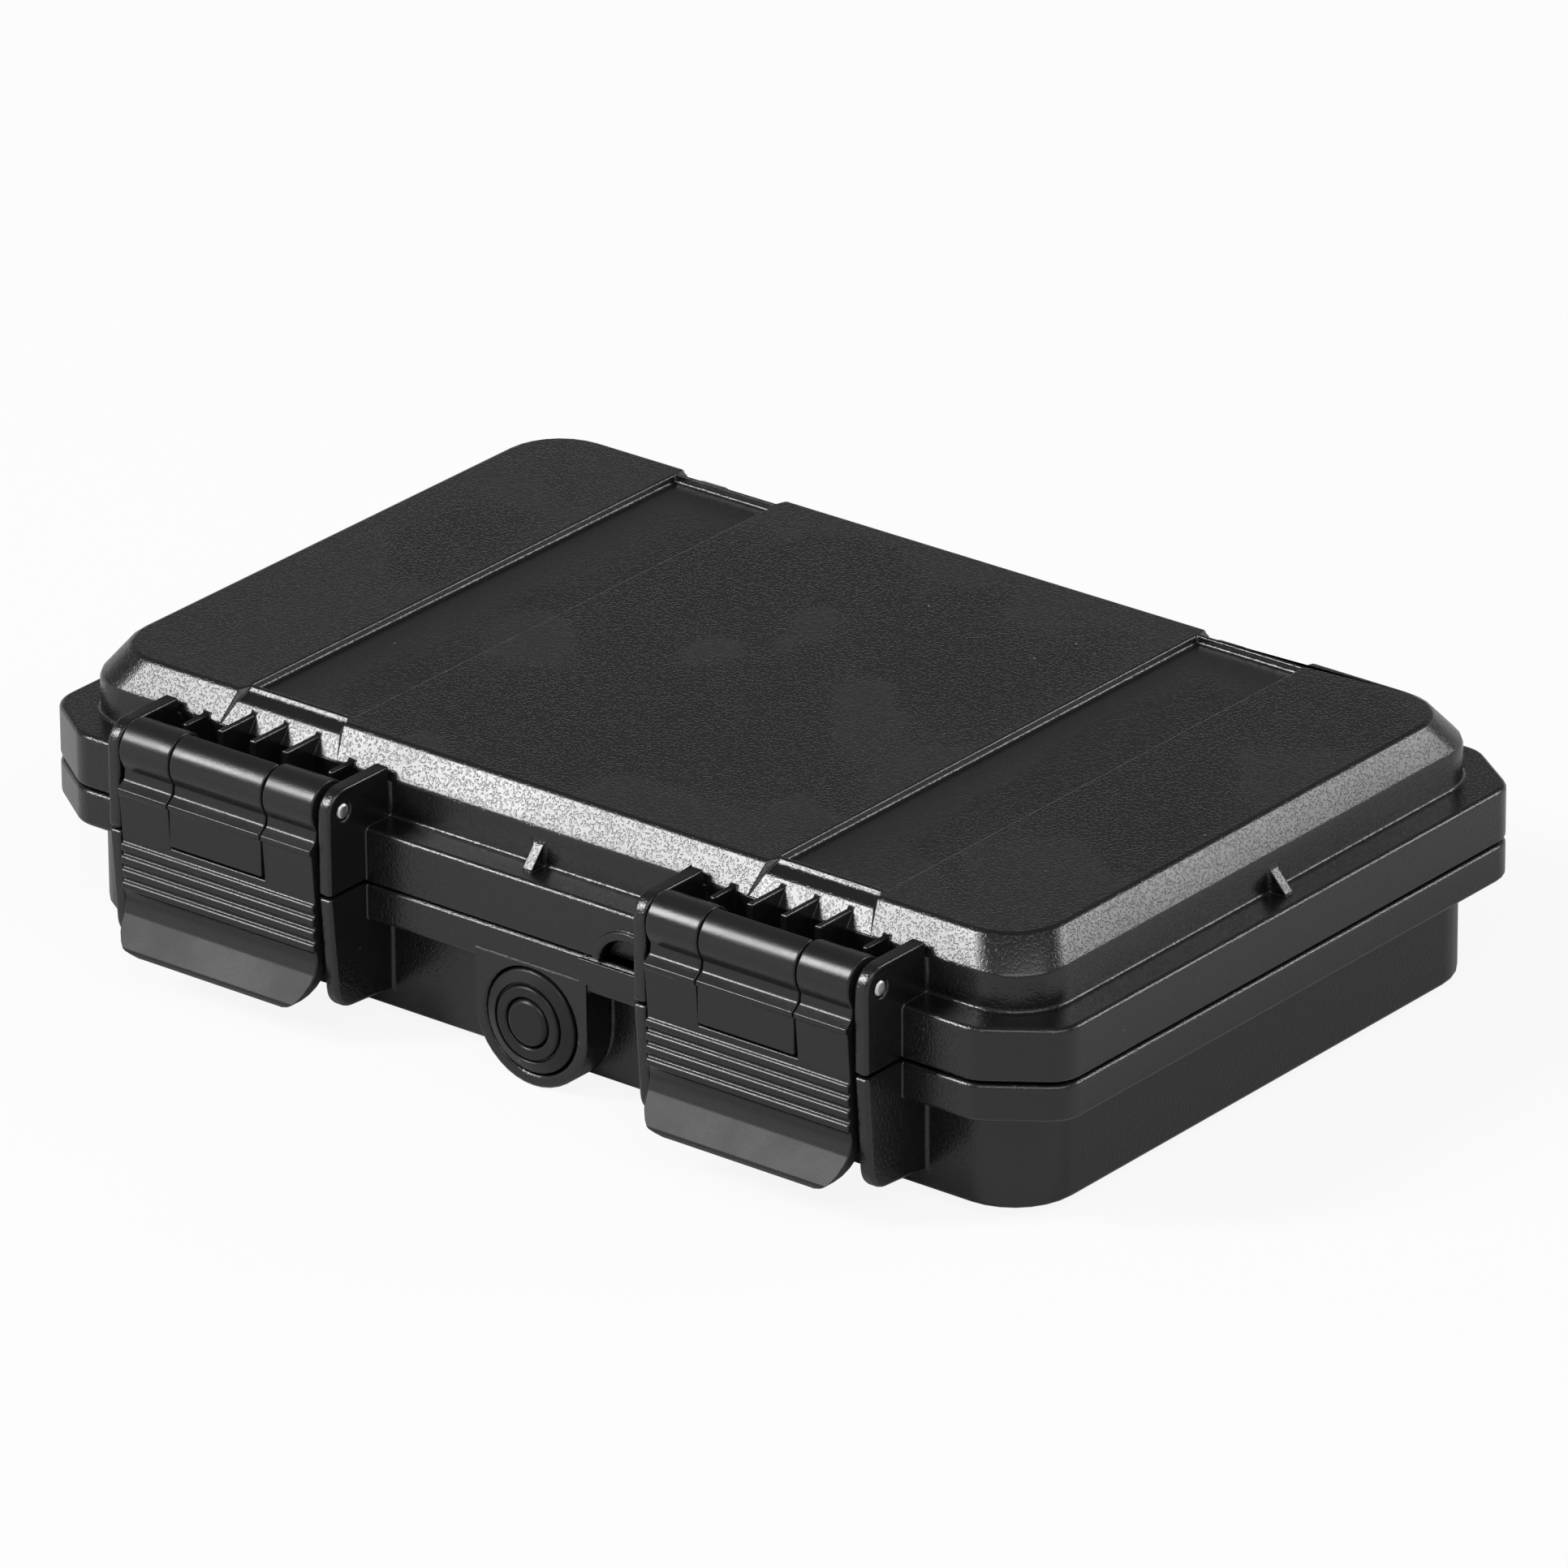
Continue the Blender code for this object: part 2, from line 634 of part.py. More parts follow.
def make_lid():
    """The upper shell with its latch brackets, fins, channels and hinge knuckles."""
    flange_low = flange_outline()
    lid = loft("lid_flange", [
        (flange_low, LID_BOTTOM),
        (flange_low, LEDGE_TOP - FLANGE_EDGE_ROUND),
        (flange_outline(FLANGE_EDGE_ROUND), LEDGE_TOP),
    ])
    foot = LID_TOP - DOME_CHAMFER_HEIGHT
    top_x = WALL_X - DOME_CHAMFER_IN
    top_y = WALL_Y - DOME_CHAMFER_IN
    share = DOME_EDGE_ROUND / DOME_CHAMFER_HEIGHT
    drawn_in = DOME_CHAMFER_IN * share
    radius = DOME_CORNER_RADIUS
    dome = loft("lid_dome", [
        (rounded_rectangle(WALL_X, WALL_Y, radius), LEDGE_TOP - ROOT),
        (rounded_rectangle(WALL_X, WALL_Y, radius), foot - DOME_EDGE_ROUND),
        (rounded_rectangle(WALL_X - drawn_in, WALL_Y - drawn_in, radius), foot + DOME_EDGE_ROUND),
        (rounded_rectangle(top_x + drawn_in, top_y + drawn_in, radius), LID_TOP - DOME_EDGE_ROUND),
        (rounded_rectangle(top_x - DOME_EDGE_ROUND, top_y - DOME_EDGE_ROUND, radius), LID_TOP),
    ])
    joins = [dome, *ledge_ribs()]
    hood = [notch_outline(HOOD_THICKNESS), notch_outline()]
    joins.append(extrude("notch_hood", [hood[0]], -HALF_Y - HOOD_OUT, -HALF_Y + ROOT, along="Y"))
    cuts = []
    for side in SIDES.values():
        joins += bracket_pair("lid_bracket", lid_bracket_outline(), side)
        joins += fins(side)
        joins.append(hinge_knuckle(side))
        shape(dome, "DIFFERENCE", channel_cutters(side))
        for hand in SIDES.values():
            bore_low = LATCH_WIDTH / 2
            edges = sorted((latch_x(side) + hand * bore_low, latch_x(side) + hand * (bore_low + OVERRUN + ROOT)))
            cuts.append(rod("pivot_bore", PIVOT_PIN_RADIUS + PIN_CLEARANCE, *edges, PIVOT, BORE_SIDES))
        half = KNUCKLE_WIDTH / 2 + ROOT
        edges = (latch_x(side) - half, latch_x(side) + half)
        cuts.append(rod("hinge_bore", HINGE_PIN_RADIUS + PIN_CLEARANCE, *edges, HINGE, BORE_SIDES))
    inner_foot = foot - WALL / 2
    ceiling = LID_TOP - CHANNEL_DEPTH - WALL + PARTING_GAP
    inside = rounded_rectangle(WALL_X - WALL, WALL_Y - WALL, radius - WALL)
    cuts.append(loft("lid_cavity", [
        (inside, LID_BOTTOM - OVERRUN),
        (inside, inner_foot),
        (rounded_rectangle(top_x - WALL, top_y - WALL, radius - WALL), ceiling),
    ]))
    cuts.append(seal_ring("gasket_groove", GROOVE_WIDTH, LID_BOTTOM - OVERRUN, LID_BOTTOM + GROOVE_DEPTH))
    cuts.append(extrude("padlock_notch", [notch_outline()], -HALF_Y - OVERRUN, -HALF_Y + NOTCH_DEPTH, along="Y"))
    shape(lid, "UNION", joins)
    shape(lid, "DIFFERENCE", cuts)
    return finish_part(lid, "lid_shell", "shell")


def pedestal_outline():
    """The U-shaped pedestal under the flange that carries the valve, as (x, z)."""
    bottom = arc((VALVE_X, VALVE_HEIGHT), PEDESTAL_RADIUS, 180, 360)
    top = BASE_HEIGHT - BASE_FLANGE_HEIGHT + ROOT
    return [(VALVE_X - PEDESTAL_RADIUS, top), *bottom, (VALVE_X + PEDESTAL_RADIUS, top)]


def valve_rod(name, radius, low_out, high_out):
    """A cylinder about the valve's axis between two distances out of the flange's face."""
    profile = [(0, high_out), (radius, high_out), (radius, low_out), (0, low_out)]
    return turned(name, profile)


def make_base():
    """The lower shell with its flange, tongue, brackets, catches, hinge ears and valve pedestal."""
    flange_low = BASE_HEIGHT - BASE_FLANGE_HEIGHT
    base = loft("base_flange", [
        (flange_outline(FLANGE_EDGE_ROUND), flange_low),
        (flange_outline(), flange_low + FLANGE_EDGE_ROUND),
        (flange_outline(), BASE_HEIGHT - FLANGE_EDGE_ROUND),
        (flange_outline(FLANGE_EDGE_ROUND), BASE_HEIGHT),
    ])
    rings = []
    for step in range(ROUND_STEPS + 1):
        angle = math.pi / 2 * step / ROUND_STEPS
        inset = BASE_FOOT_ROUND * (1 - math.sin(angle))
        outline = rounded_rectangle(WALL_X - inset, WALL_Y - inset, BASE_CORNER_RADIUS - inset)
        rings.append((outline, PLINTH_HEIGHT + BASE_FOOT_ROUND * (1 - math.cos(angle))))
    rings.append((rounded_rectangle(WALL_X, WALL_Y, BASE_CORNER_RADIUS), flange_low + ROOT))
    plinth_x = WALL_X - PLINTH_INSET
    plinth_y = WALL_Y - PLINTH_INSET
    plinth = loft("plinth", [
        (rounded_rectangle(plinth_x - PLINTH_TAPER, plinth_y - PLINTH_TAPER, PLINTH_CORNER_RADIUS), 0),
        (rounded_rectangle(plinth_x, plinth_y, PLINTH_CORNER_RADIUS), PLINTH_HEIGHT),
        (rounded_rectangle(plinth_x, plinth_y, PLINTH_CORNER_RADIUS), PLINTH_HEIGHT + ROOT),
    ])
    joins = [loft("base_body", rings), plinth]
    pedestal_front = -HALF_Y - PEDESTAL_OUT
    joins.append(extrude("valve_pedestal", [pedestal_outline()], pedestal_front, -WALL_Y + WALL / 2, along="Y"))
    keeper_low = BASE_HEIGHT - KEEPER_HEIGHT
    keeper_right = latch_x(1) - LATCH_WIDTH / 2 - LATCH_SIDE_GAP
    keeper_top = BASE_HEIGHT - FLANGE_EDGE_ROUND
    joins.append(box(
        "padlock_keeper",
        (keeper_right - KEEPER_WIDTH, -HALF_Y - KEEPER_OUT, keeper_low),
        (keeper_right - BRACKET_WALL / 2, -HALF_Y + ROOT, keeper_top),
    ))
    cuts = []
    for side in SIDES.values():
        joins += bracket_pair("base_bracket", base_bracket_outline(), side)
        joins += hinge_ears(side)
        catch_low = BASE_HEIGHT - TOE_DROP + CATCH_GAP
        joins.append(box(
            "latch_catch",
            (latch_x(side) - CATCH_WIDTH / 2, -HALF_Y - CATCH_REACH, catch_low),
            (latch_x(side) + CATCH_WIDTH / 2, -HALF_Y + ROOT, catch_low + CATCH_HEIGHT),
        ))
        half = KNUCKLE_WIDTH / 2 + HINGE_SIDE_GAP + EAR_WIDTH + ROOT
        edges = (latch_x(side) - half, latch_x(side) + half)
        cuts.append(rod("hinge_bore", HINGE_PIN_RADIUS + PIN_CLEARANCE, *edges, HINGE, BORE_SIDES))
    inside = rounded_rectangle(WALL_X - WALL, WALL_Y - WALL, BASE_CORNER_RADIUS - WALL)
    deep = WALL + FLOOR_EDGE
    floor = rounded_rectangle(WALL_X - deep, WALL_Y - deep, BASE_CORNER_RADIUS - deep)
    cuts.append(loft("base_cavity", [
        (floor, PLINTH_HEIGHT + WALL),
        (inside, PLINTH_HEIGHT + deep),
        (inside, BASE_HEIGHT + OVERRUN),
    ]))
    cuts.append(valve_rod("valve_seat", VALVE_SEAT_RADIUS, -VALVE_SEAT_DEPTH, OVERRUN))
    cuts.append(valve_rod("valve_bore", VALVE_STEM_RADIUS + VALVE_GAP, -FLANGE_OVERHANG - WALL - ROOT, OVERRUN))
    tongue_top = LID_BOTTOM + GROOVE_DEPTH - GASKET_HEIGHT - SEAL_GAP - SEAL_GAP
    shape(base, "UNION", joins)
    shape(base, "UNION", [seal_ring("tongue", TONGUE_WIDTH, BASE_HEIGHT - ROOT, tongue_top)])
    shape(base, "DIFFERENCE", cuts)
    return finish_part(base, "base_shell", "shell")


def make_gasket():
    top = LID_BOTTOM + GROOVE_DEPTH - SEAL_GAP
    gasket = seal_ring("gasket", GASKET_WIDTH, top - GASKET_HEIGHT, top)
    bevel = gasket.modifiers.new("round", "BEVEL")
    bevel.width = GASKET_EDGE_ROUND
    bevel.segments = 2
    bevel.limit_method = "ANGLE"
    bevel.angle_limit = math.radians(60)
    return finish_part(gasket, "lid_gasket", "rubber")


# Latches


def front_face():
    """The latch's front from the roll down to the top of the ribs, as (y, z, radius), shared by lever and hook."""
    base = BASE_HEIGHT
    return [
        (*out_from_pivot(WAIST_OUT, base + WAIST_RISE), ROLL_RADIUS / 5),
        (*out_from_pivot(LEDGE_OUT, base + LEDGE_RISE), 0),
        (*out_from_pivot(NOSE_OUT, base + NOSE_RISE), NOSE_HEIGHT / 3),
        (*out_from_pivot(NOSE_OUT, base + NOSE_RISE - NOSE_HEIGHT), NOSE_HEIGHT / 3),
        (*out_from_pivot(LEVER_FACE_OUT, base + FACE_RISE), 0),
    ]


def roll_arc(start, end):
    """The roll about the pivot. Angles count up from straight out, through the top."""
    return arc((PIVOT.y, PIVOT.z), ROLL_RADIUS, 180 - start, 180 - end)


def rib_points():
    """The full-width grip ribs, from the top one down."""
    points = []
    for index in range(RIB_COUNT):
        middle = BASE_HEIGHT - RIB_DROP - index * RIB_PITCH
        for rise, sunk in ((RIB_HEIGHT / 2 + RIB_FLANK, RIB_DEPTH), (RIB_HEIGHT / 2, 0),
                           (-RIB_HEIGHT / 2, 0), (-RIB_HEIGHT / 2 - RIB_FLANK, RIB_DEPTH)):
            points.append((*out_from_pivot(LEVER_FACE_OUT - sunk, middle + rise), 0))
    return points


def lever_outline():
    base = BASE_HEIGHT
    tail = [
        (*out_from_pivot(HOLLOW_OUT, base - HOLLOW_DROP), LEVER_CORNER_ROUND / 2),
        (*out_from_pivot(FLARE_OUT, base - FLARE_DROP), LEVER_CORNER_ROUND / 3),
        (*out_from_pivot(TAB_OUT, base - TAB_DROP), TAB_THICKNESS / 3),
        (*out_from_pivot(TAB_OUT - TAB_THICKNESS / 2, base - TAB_FOOT_DROP), TAB_THICKNESS / 3),
        (*out_from_pivot(TAB_OUT - TAB_THICKNESS, base - TAB_FOOT_DROP), TAB_THICKNESS / 3),
        (*out_from_pivot(LEVER_BACK_OUT, base - FLARE_DROP), LEVER_CORNER_ROUND / 3),
    ]
    back_angle = -math.degrees(math.acos(LEVER_BACK_OUT / ROLL_RADIUS))
    front_start = -32
    roll = [(p.x, p.y, 0) for p in roll_arc(360 + back_angle, front_start)]
    return fillet([*roll, *front_face(), *rib_points(), *tail])


def hook_outline():
    base = BASE_HEIGHT
    toe_low = base - TOE_DROP - TOE_HEIGHT
    roll = [(p.x, p.y, 0) for p in roll_arc(92, -32)]
    lower = [
        (*out_from_pivot(LEVER_FACE_OUT, base + HOOK_STEP_GAP), 0),
        (*out_from_pivot(HOOK_BACK_OUT + HOOK_THICKNESS, base + HOOK_STEP_GAP), 0),
        (*out_from_pivot(HOOK_BACK_OUT + HOOK_THICKNESS, toe_low), TOE_HEIGHT / 3),
        (*out_from_pivot(HOOK_BACK_OUT - TOE_REACH, toe_low), TOE_HEIGHT / 4),
        (*out_from_pivot(HOOK_BACK_OUT - TOE_REACH, base - TOE_DROP), TOE_HEIGHT / 4),
        (*out_from_pivot(HOOK_BACK_OUT, base - TOE_DROP), 0),
        (*out_from_pivot(HOOK_BACK_OUT, base + NOSE_RISE), 0),
        (*out_from_pivot(-HOOK_BACK_IN, PIVOT.z - ROLL_RADIUS / 2), 0),
        (*out_from_pivot(-HOOK_BACK_IN, PIVOT.z), 0),
    ]
    return fillet([*roll, *front_face(), *lower])


def make_lever(name, side):
    """The lever: two knuckles and arms beside the hook's window, a ribbed cross plate and a flared tab."""
    middle = latch_x(side)
    half = LATCH_WIDTH / 2
    lever = extrude(name, [lever_outline()], middle - half, middle + half, along="X")
    foot = BASE_HEIGHT - TAB_FOOT_DROP - OVERRUN / 4
    roof = PIVOT.z + ROLL_RADIUS + OVERRUN
    front_view = fillet([
        (middle - half - OVERRUN, foot - OVERRUN, 0),
        (middle + half + OVERRUN, foot - OVERRUN, 0),
        (middle + half + OVERRUN, roof, 0),
        (middle - half - OVERRUN, roof, 0),
    ])
    tab_foot = BASE_HEIGHT - TAB_FOOT_DROP
    kept = fillet([
        (middle - half, tab_foot, TAB_CORNER_ROUND),
        (middle + half, tab_foot, TAB_CORNER_ROUND),
        (middle + half, roof - OVERRUN / 2, 0),
        (middle - half, roof - OVERRUN / 2, 0),
    ], CORNER_STEPS)
    deep = PIVOT.y + ROLL_RADIUS + OVERRUN
    near = PIVOT.y - TAB_OUT - OVERRUN
    corners = extrude("tab_corners", [front_view, kept], near, deep, along="Y")
    window_half = HOOK_WIDTH / 2 + HOOK_SIDE_GAP
    window = box("hook_window", (middle - window_half, near, BASE_HEIGHT), (middle + window_half, deep, roof))
    pocket_floor = BASE_HEIGHT - TOE_DROP - TOE_HEIGHT - POCKET_FLOOR_GAP
    pocket = box(
        "hook_pocket",
        (middle - window_half, PIVOT.y - CROSS_PLATE_INNER_OUT, pocket_floor),
        (middle + window_half, deep, BASE_HEIGHT + OVERRUN),
    )
    cuts = [corners, window, pocket]
    for hand in SIDES.values():
        start = half - PIVOT_PIN_DEPTH - PIN_END_GAP
        edges = sorted((middle + hand * start, middle + hand * (half + OVERRUN)))
        cuts.append(rod("pivot_bore", PIVOT_PIN_RADIUS + PIN_CLEARANCE, *edges, PIVOT, BORE_SIDES))
    link_half = HOOK_WIDTH / 2 + HOOK_SIDE_GAP + LINK_PIN_DEPTH + PIN_END_GAP
    edges = (middle - link_half, middle + link_half)
    cuts.append(rod("link_bore", LINK_PIN_RADIUS + PIN_CLEARANCE, *edges, LINK, BORE_SIDES))
    shape(lever, "DIFFERENCE", cuts)
    return finish_part(lever, name, "latch", Vector((middle, PIVOT.y, PIVOT.z)))


def make_hook(name, side):
    """The hook plate in the lever's window, with the toe that grips the base's catch."""
    middle = latch_x(side)
    half = HOOK_WIDTH / 2
    hook = extrude(name, [hook_outline()], middle - half, middle + half, along="X")
    edges = (middle - half - OVERRUN, middle + half + OVERRUN)
    shape(hook, "DIFFERENCE", [rod("link_bore", LINK_PIN_RADIUS + PIN_CLEARANCE, *edges, LINK, BORE_SIDES)])
    return finish_part(hook, name, "latch", Vector((middle, LINK.y, LINK.z)))


def make_pin(name, radius, low, high, place):
    pin = rod(name, radius, low, high, place, PIN_SIDES)
    return finish_part(pin, name, "steel", Vector(((low + high) / 2, place.y, place.z)))


def make_latch(word, side):
    middle = latch_x(side)
    make_lever(f"latch_lever_{word}", side)
    make_hook(f"latch_hook_{word}", side)
    link_half = HOOK_WIDTH / 2 + HOOK_SIDE_GAP + LINK_PIN_DEPTH
    make_pin(f"latch_link_pin_{word}", LINK_PIN_RADIUS, middle - link_half, middle + link_half, LINK)
    inner = LATCH_WIDTH / 2 - PIVOT_PIN_DEPTH
    outer = LATCH_WIDTH / 2 + LATCH_SIDE_GAP + BRACKET_WALL
    for hand_word, hand in (("inner", -side), ("outer", side)):
        edges = sorted((middle + hand * inner, middle + hand * outer))
        make_pin(f"latch_pivot_pin_{word}_{hand_word}", PIVOT_PIN_RADIUS, *edges, PIVOT)


def make_hinge_pin(word, side):
    half = KNUCKLE_WIDTH / 2 + HINGE_SIDE_GAP + EAR_WIDTH
    make_pin(f"hinge_pin_{word}", HINGE_PIN_RADIUS, latch_x(side) - half, latch_x(side) + half, HINGE)


# Air valve


def make_valve():
    """A screwed-in air valve: housing, sealing ring, porous disc, cap and the nut inside the case."""
    seat = -VALVE_SEAT_DEPTH + VALVE_GAP
    front = VALVE_FRONT_OUT
    moat = VALVE_DOME_RISE - VALVE_MOAT_DEPTH
    collar = VALVE_DOME_RADIUS - VALVE_MOAT_WIDTH
    back = seat - VALVE_STEM_LENGTH
    cap_seat = front - VALVE_CAP_THICKNESS - VALVE_GAP
    cap_pocket = VALVE_CAP_RADIUS + VALVE_GAP
    ring_outer = SEAL_RING_RADIUS + SEAL_RING_WIDTH
    ring_roof = seat + SEAL_RING_GROOVE
    housing = turned("valve_housing", [
        (VALVE_DOME_RADIUS, VALVE_DOME_RISE),
        (VALVE_RIM_RADIUS, VALVE_RIM_RISE),
        (VALVE_RIM_RADIUS, seat),
        (ring_outer + VALVE_GAP, seat),
        (ring_outer + VALVE_GAP, ring_roof),
        (SEAL_RING_RADIUS - VALVE_GAP, ring_roof),
        (SEAL_RING_RADIUS - VALVE_GAP, seat),
        (VALVE_STEM_RADIUS, seat),
        (VALVE_STEM_RADIUS, back),
        (VALVE_PORT_RADIUS, back),
        (VALVE_PORT_RADIUS, cap_seat - MEMBRANE_THICKNESS - VALVE_GAP),
        (cap_pocket, cap_seat - MEMBRANE_THICKNESS - VALVE_GAP),
        (cap_pocket, front - VALVE_GAP),
        (cap_pocket + VALVE_GAP, front),
        (collar - VALVE_GAP, front),
        (collar, front - VALVE_GAP),
        (collar, moat),
        (VALVE_DOME_RADIUS, moat),
    ])
    finish_part(housing, "valve_housing", "valve")
    low = -VALVE_SEAT_DEPTH + VALVE_GAP / 3
    high = ring_roof - VALVE_GAP / 3
    sealing = turned("valve_seal", [
        (ring_outer, high - SEAL_RING_TRIM),
        (ring_outer, low + SEAL_RING_TRIM),
        (ring_outer - SEAL_RING_TRIM, low),
        (SEAL_RING_RADIUS + SEAL_RING_TRIM, low),
        (SEAL_RING_RADIUS, low + SEAL_RING_TRIM),
        (SEAL_RING_RADIUS, high - SEAL_RING_TRIM),
        (SEAL_RING_RADIUS + SEAL_RING_TRIM, high),
        (ring_outer - SEAL_RING_TRIM, high),
    ])
    finish_part(sealing, "valve_seal", "rubber")
    membrane_low = cap_seat - MEMBRANE_THICKNESS
    membrane = valve_rod("valve_membrane", VALVE_CAP_RADIUS, membrane_low, cap_seat - VALVE_GAP / 2)
    finish_part(membrane, "valve_membrane", "rubber")
    cap = turned("valve_cap", [
        (0, front + VALVE_GAP),
        (VALVE_CAP_RADIUS - VALVE_CAP_THICKNESS / 2, front + VALVE_GAP),
        (VALVE_CAP_RADIUS, front - VALVE_CAP_THICKNESS / 4),
        (VALVE_CAP_RADIUS, cap_seat),
        (0, cap_seat),
    ])
    finish_part(cap, "valve_cap", "valve")
    inner_wall = -FLANGE_OVERHANG - WALL
    nut_front = -HALF_Y - inner_wall + VALVE_GAP
    hexagon = arc((VALVE_X, VALVE_HEIGHT), NUT_RADIUS, 0, 300, steps=5)
    hole = arc((VALVE_X, VALVE_HEIGHT), VALVE_STEM_RADIUS + VALVE_GAP, 0, 345, steps=BORE_SIDES - 1)
    nut = extrude("valve_nut", [hexagon, hole], nut_front, nut_front + NUT_THICKNESS, along="Y")
    finish_part(nut, "valve_nut", "valve")


def main():
    make_base()
    make_lid()
    make_gasket()
    for word, side in SIDES.items():
        make_latch(word, side)
        make_hinge_pin(word, side)
    make_valve()


main()
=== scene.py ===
"""Dresses the compact hard case: moulded plastic shells and latches, steel pins, rubber seals and the stage.

Metres, +Z up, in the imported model's own frame. The latches face -Y and the case lies on its base.
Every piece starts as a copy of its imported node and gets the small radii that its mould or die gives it.
"""

import json
import math

import bmesh
import bpy
from bpy.props import FloatProperty, FloatVectorProperty, PointerProperty
from mathutils import Matrix, Vector
from mathutils.bvhtree import BVHTree
from mathutils.geometry import intersect_point_line


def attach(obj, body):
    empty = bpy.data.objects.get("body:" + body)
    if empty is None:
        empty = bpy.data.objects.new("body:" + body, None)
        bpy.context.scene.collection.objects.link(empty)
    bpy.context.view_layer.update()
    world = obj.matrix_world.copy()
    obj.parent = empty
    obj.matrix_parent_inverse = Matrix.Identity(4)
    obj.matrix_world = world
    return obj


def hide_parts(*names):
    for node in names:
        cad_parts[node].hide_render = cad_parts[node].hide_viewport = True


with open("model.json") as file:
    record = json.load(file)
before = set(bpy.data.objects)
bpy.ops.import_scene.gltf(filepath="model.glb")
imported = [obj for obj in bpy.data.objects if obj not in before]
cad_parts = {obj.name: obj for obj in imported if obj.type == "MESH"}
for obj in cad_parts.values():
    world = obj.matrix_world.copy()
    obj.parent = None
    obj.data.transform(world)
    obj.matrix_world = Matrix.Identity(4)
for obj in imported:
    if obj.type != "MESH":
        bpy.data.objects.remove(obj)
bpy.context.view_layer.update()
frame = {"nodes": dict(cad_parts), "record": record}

bl_info = {
    "name": "Compact hard case",
    "version": (1, 1, 0),
    "blender": (4, 5, 0),
    "location": "3D View > Sidebar > Hard case",
    "description": "Dresses a packed hard case with its moulded finishes and lights it",
    "category": "Object",
}


# Settings


class CaseEdges(bpy.types.PropertyGroup):
    """Radii along the edges of the case's pieces."""

    shell_edge: FloatProperty(
        name="Shell edge", description="Widest rounding along the shells' edges",
        unit="LENGTH", min=0.00001, max=0.002, default=0.0008)
    latch_edge: FloatProperty(
        name="Latch edge", description="Widest rounding along the edges of levers and hooks",
        unit="LENGTH", min=0.00001, max=0.001, default=0.0004)
    valve_edge: FloatProperty(
        name="Valve edge", description="Widest rounding along the valve's edges",
        unit="LENGTH", min=0.00001, max=0.001, default=0.0004)
    pin_edge: FloatProperty(
        name="Pin edge", description="Widest rounding round the pins' ends",
        unit="LENGTH", min=0.00001, max=0.002, default=0.0011)
    seal_edge: FloatProperty(
        name="Seal edge", description="Widest rounding along the seals' edges",
        unit="LENGTH", min=0.00001, max=0.001, default=0.0003)


class CaseFinishes(bpy.types.PropertyGroup):
    """Colours and grain of the case's materials."""

    shell_colour: FloatVectorProperty(
        name="Shell", description="Moulded body of the case", subtype="COLOR", size=3,
        min=0, max=1, default=(0.0045, 0.0045, 0.0047))
    latch_colour: FloatVectorProperty(
        name="Latches", description="Levers and hook plates", subtype="COLOR", size=3,
        min=0, max=1, default=(0.0090, 0.0090, 0.0093))
    valve_colour: FloatVectorProperty(
        name="Valve", description="Air valve's housing, cap and nut", subtype="COLOR", size=3,
        min=0, max=1, default=(0.0080, 0.0080, 0.0083))
    steel_colour: FloatVectorProperty(
        name="Pins", description="Steel pins of latches and hinges", subtype="COLOR", size=3,
        min=0, max=1, default=(0.64, 0.63, 0.61))
    rubber_colour: FloatVectorProperty(
        name="Rubber", description="Gasket, sealing ring and valve membrane", subtype="COLOR", size=3,
        min=0, max=1, default=(0.0070, 0.0070, 0.0070))
    grain_size: FloatProperty(
        name="Grain size", description="Distance between the grain's pits",
        unit="LENGTH", min=0.0001, max=0.01, default=0.00055)
    grain_depth: FloatProperty(
        name="Grain depth", description="Depth of the grain's pits",
        unit="LENGTH", min=0, max=0.001, default=0.00003)
    grip_height: FloatProperty(
        name="Grip height", description="Height under which the latch tabs are textured for the fingers",
        unit="LENGTH", min=0, max=0.05, default=0.0160)


class CaseStage(bpy.types.PropertyGroup):
    """Camera, lamps, floor and background."""

    azimuth: FloatProperty(
        name="Azimuth", description="Turn of the camera round the case, from straight in front",
        subtype="ANGLE", default=math.radians(38.687))
    elevation: FloatProperty(
        name="Elevation", description="Height of the camera over the horizon",
        subtype="ANGLE", default=math.radians(24.325))
    roll: FloatProperty(
        name="Roll", description="Tilt of the camera about its own line of sight",
        subtype="ANGLE", default=math.radians(-0.44))
    distance: FloatProperty(
        name="Distance", description="From the camera to the case's origin",
        unit="LENGTH", min=0.1, default=2.6638826)
    across: FloatProperty(
        name="Across", description="Shift of the camera to its own right",
        unit="LENGTH", default=0.0008117)
    up: FloatProperty(
        name="Up", description="Shift of the camera upwards in its picture",
        unit="LENGTH", default=0.0283753)
    lens: FloatProperty(
        name="Lens", description="Focal length on a sensor 36 mm wide", min=10, default=339.8)
    lamp_distance: FloatProperty(
        name="Lamp distance", description="From the case to each softbox",
        unit="LENGTH", min=0.5, default=3.0)
    key_brightness: FloatProperty(
        name="Key", description="Brightness of the softbox in front, on the left", min=0, default=38.0)
    rim_brightness: FloatProperty(
        name="Rim", description="Brightness of the softbox behind, on the right", min=0, default=11.0)
    fill_brightness: FloatProperty(
        name="Fill", description="Brightness of the softbox over the near corner", min=0, default=3.2)
    room_light: FloatProperty(
        name="Room light", description="Even light from all round", min=0, default=0.25)
    floor_half: FloatProperty(
        name="Floor", description="Half width of the floor", unit="LENGTH", min=1, default=6)
    floor_colour: FloatVectorProperty(
        name="Floor colour", description="Plain pale floor", subtype="COLOR", size=3,
        min=0, max=1, default=(0.62, 0.62, 0.62))
    floor_glow: FloatProperty(
        name="Floor glow", description="Share of the floor's look that is plain white",
        subtype="FACTOR", min=0, max=1, default=0.90)
    mirrored_glow: FloatProperty(
        name="Mirrored glow", description="The same share, where a piece reflects the floor",
        subtype="FACTOR", min=0, max=1, default=0.05)


# Node groups that more than one material uses

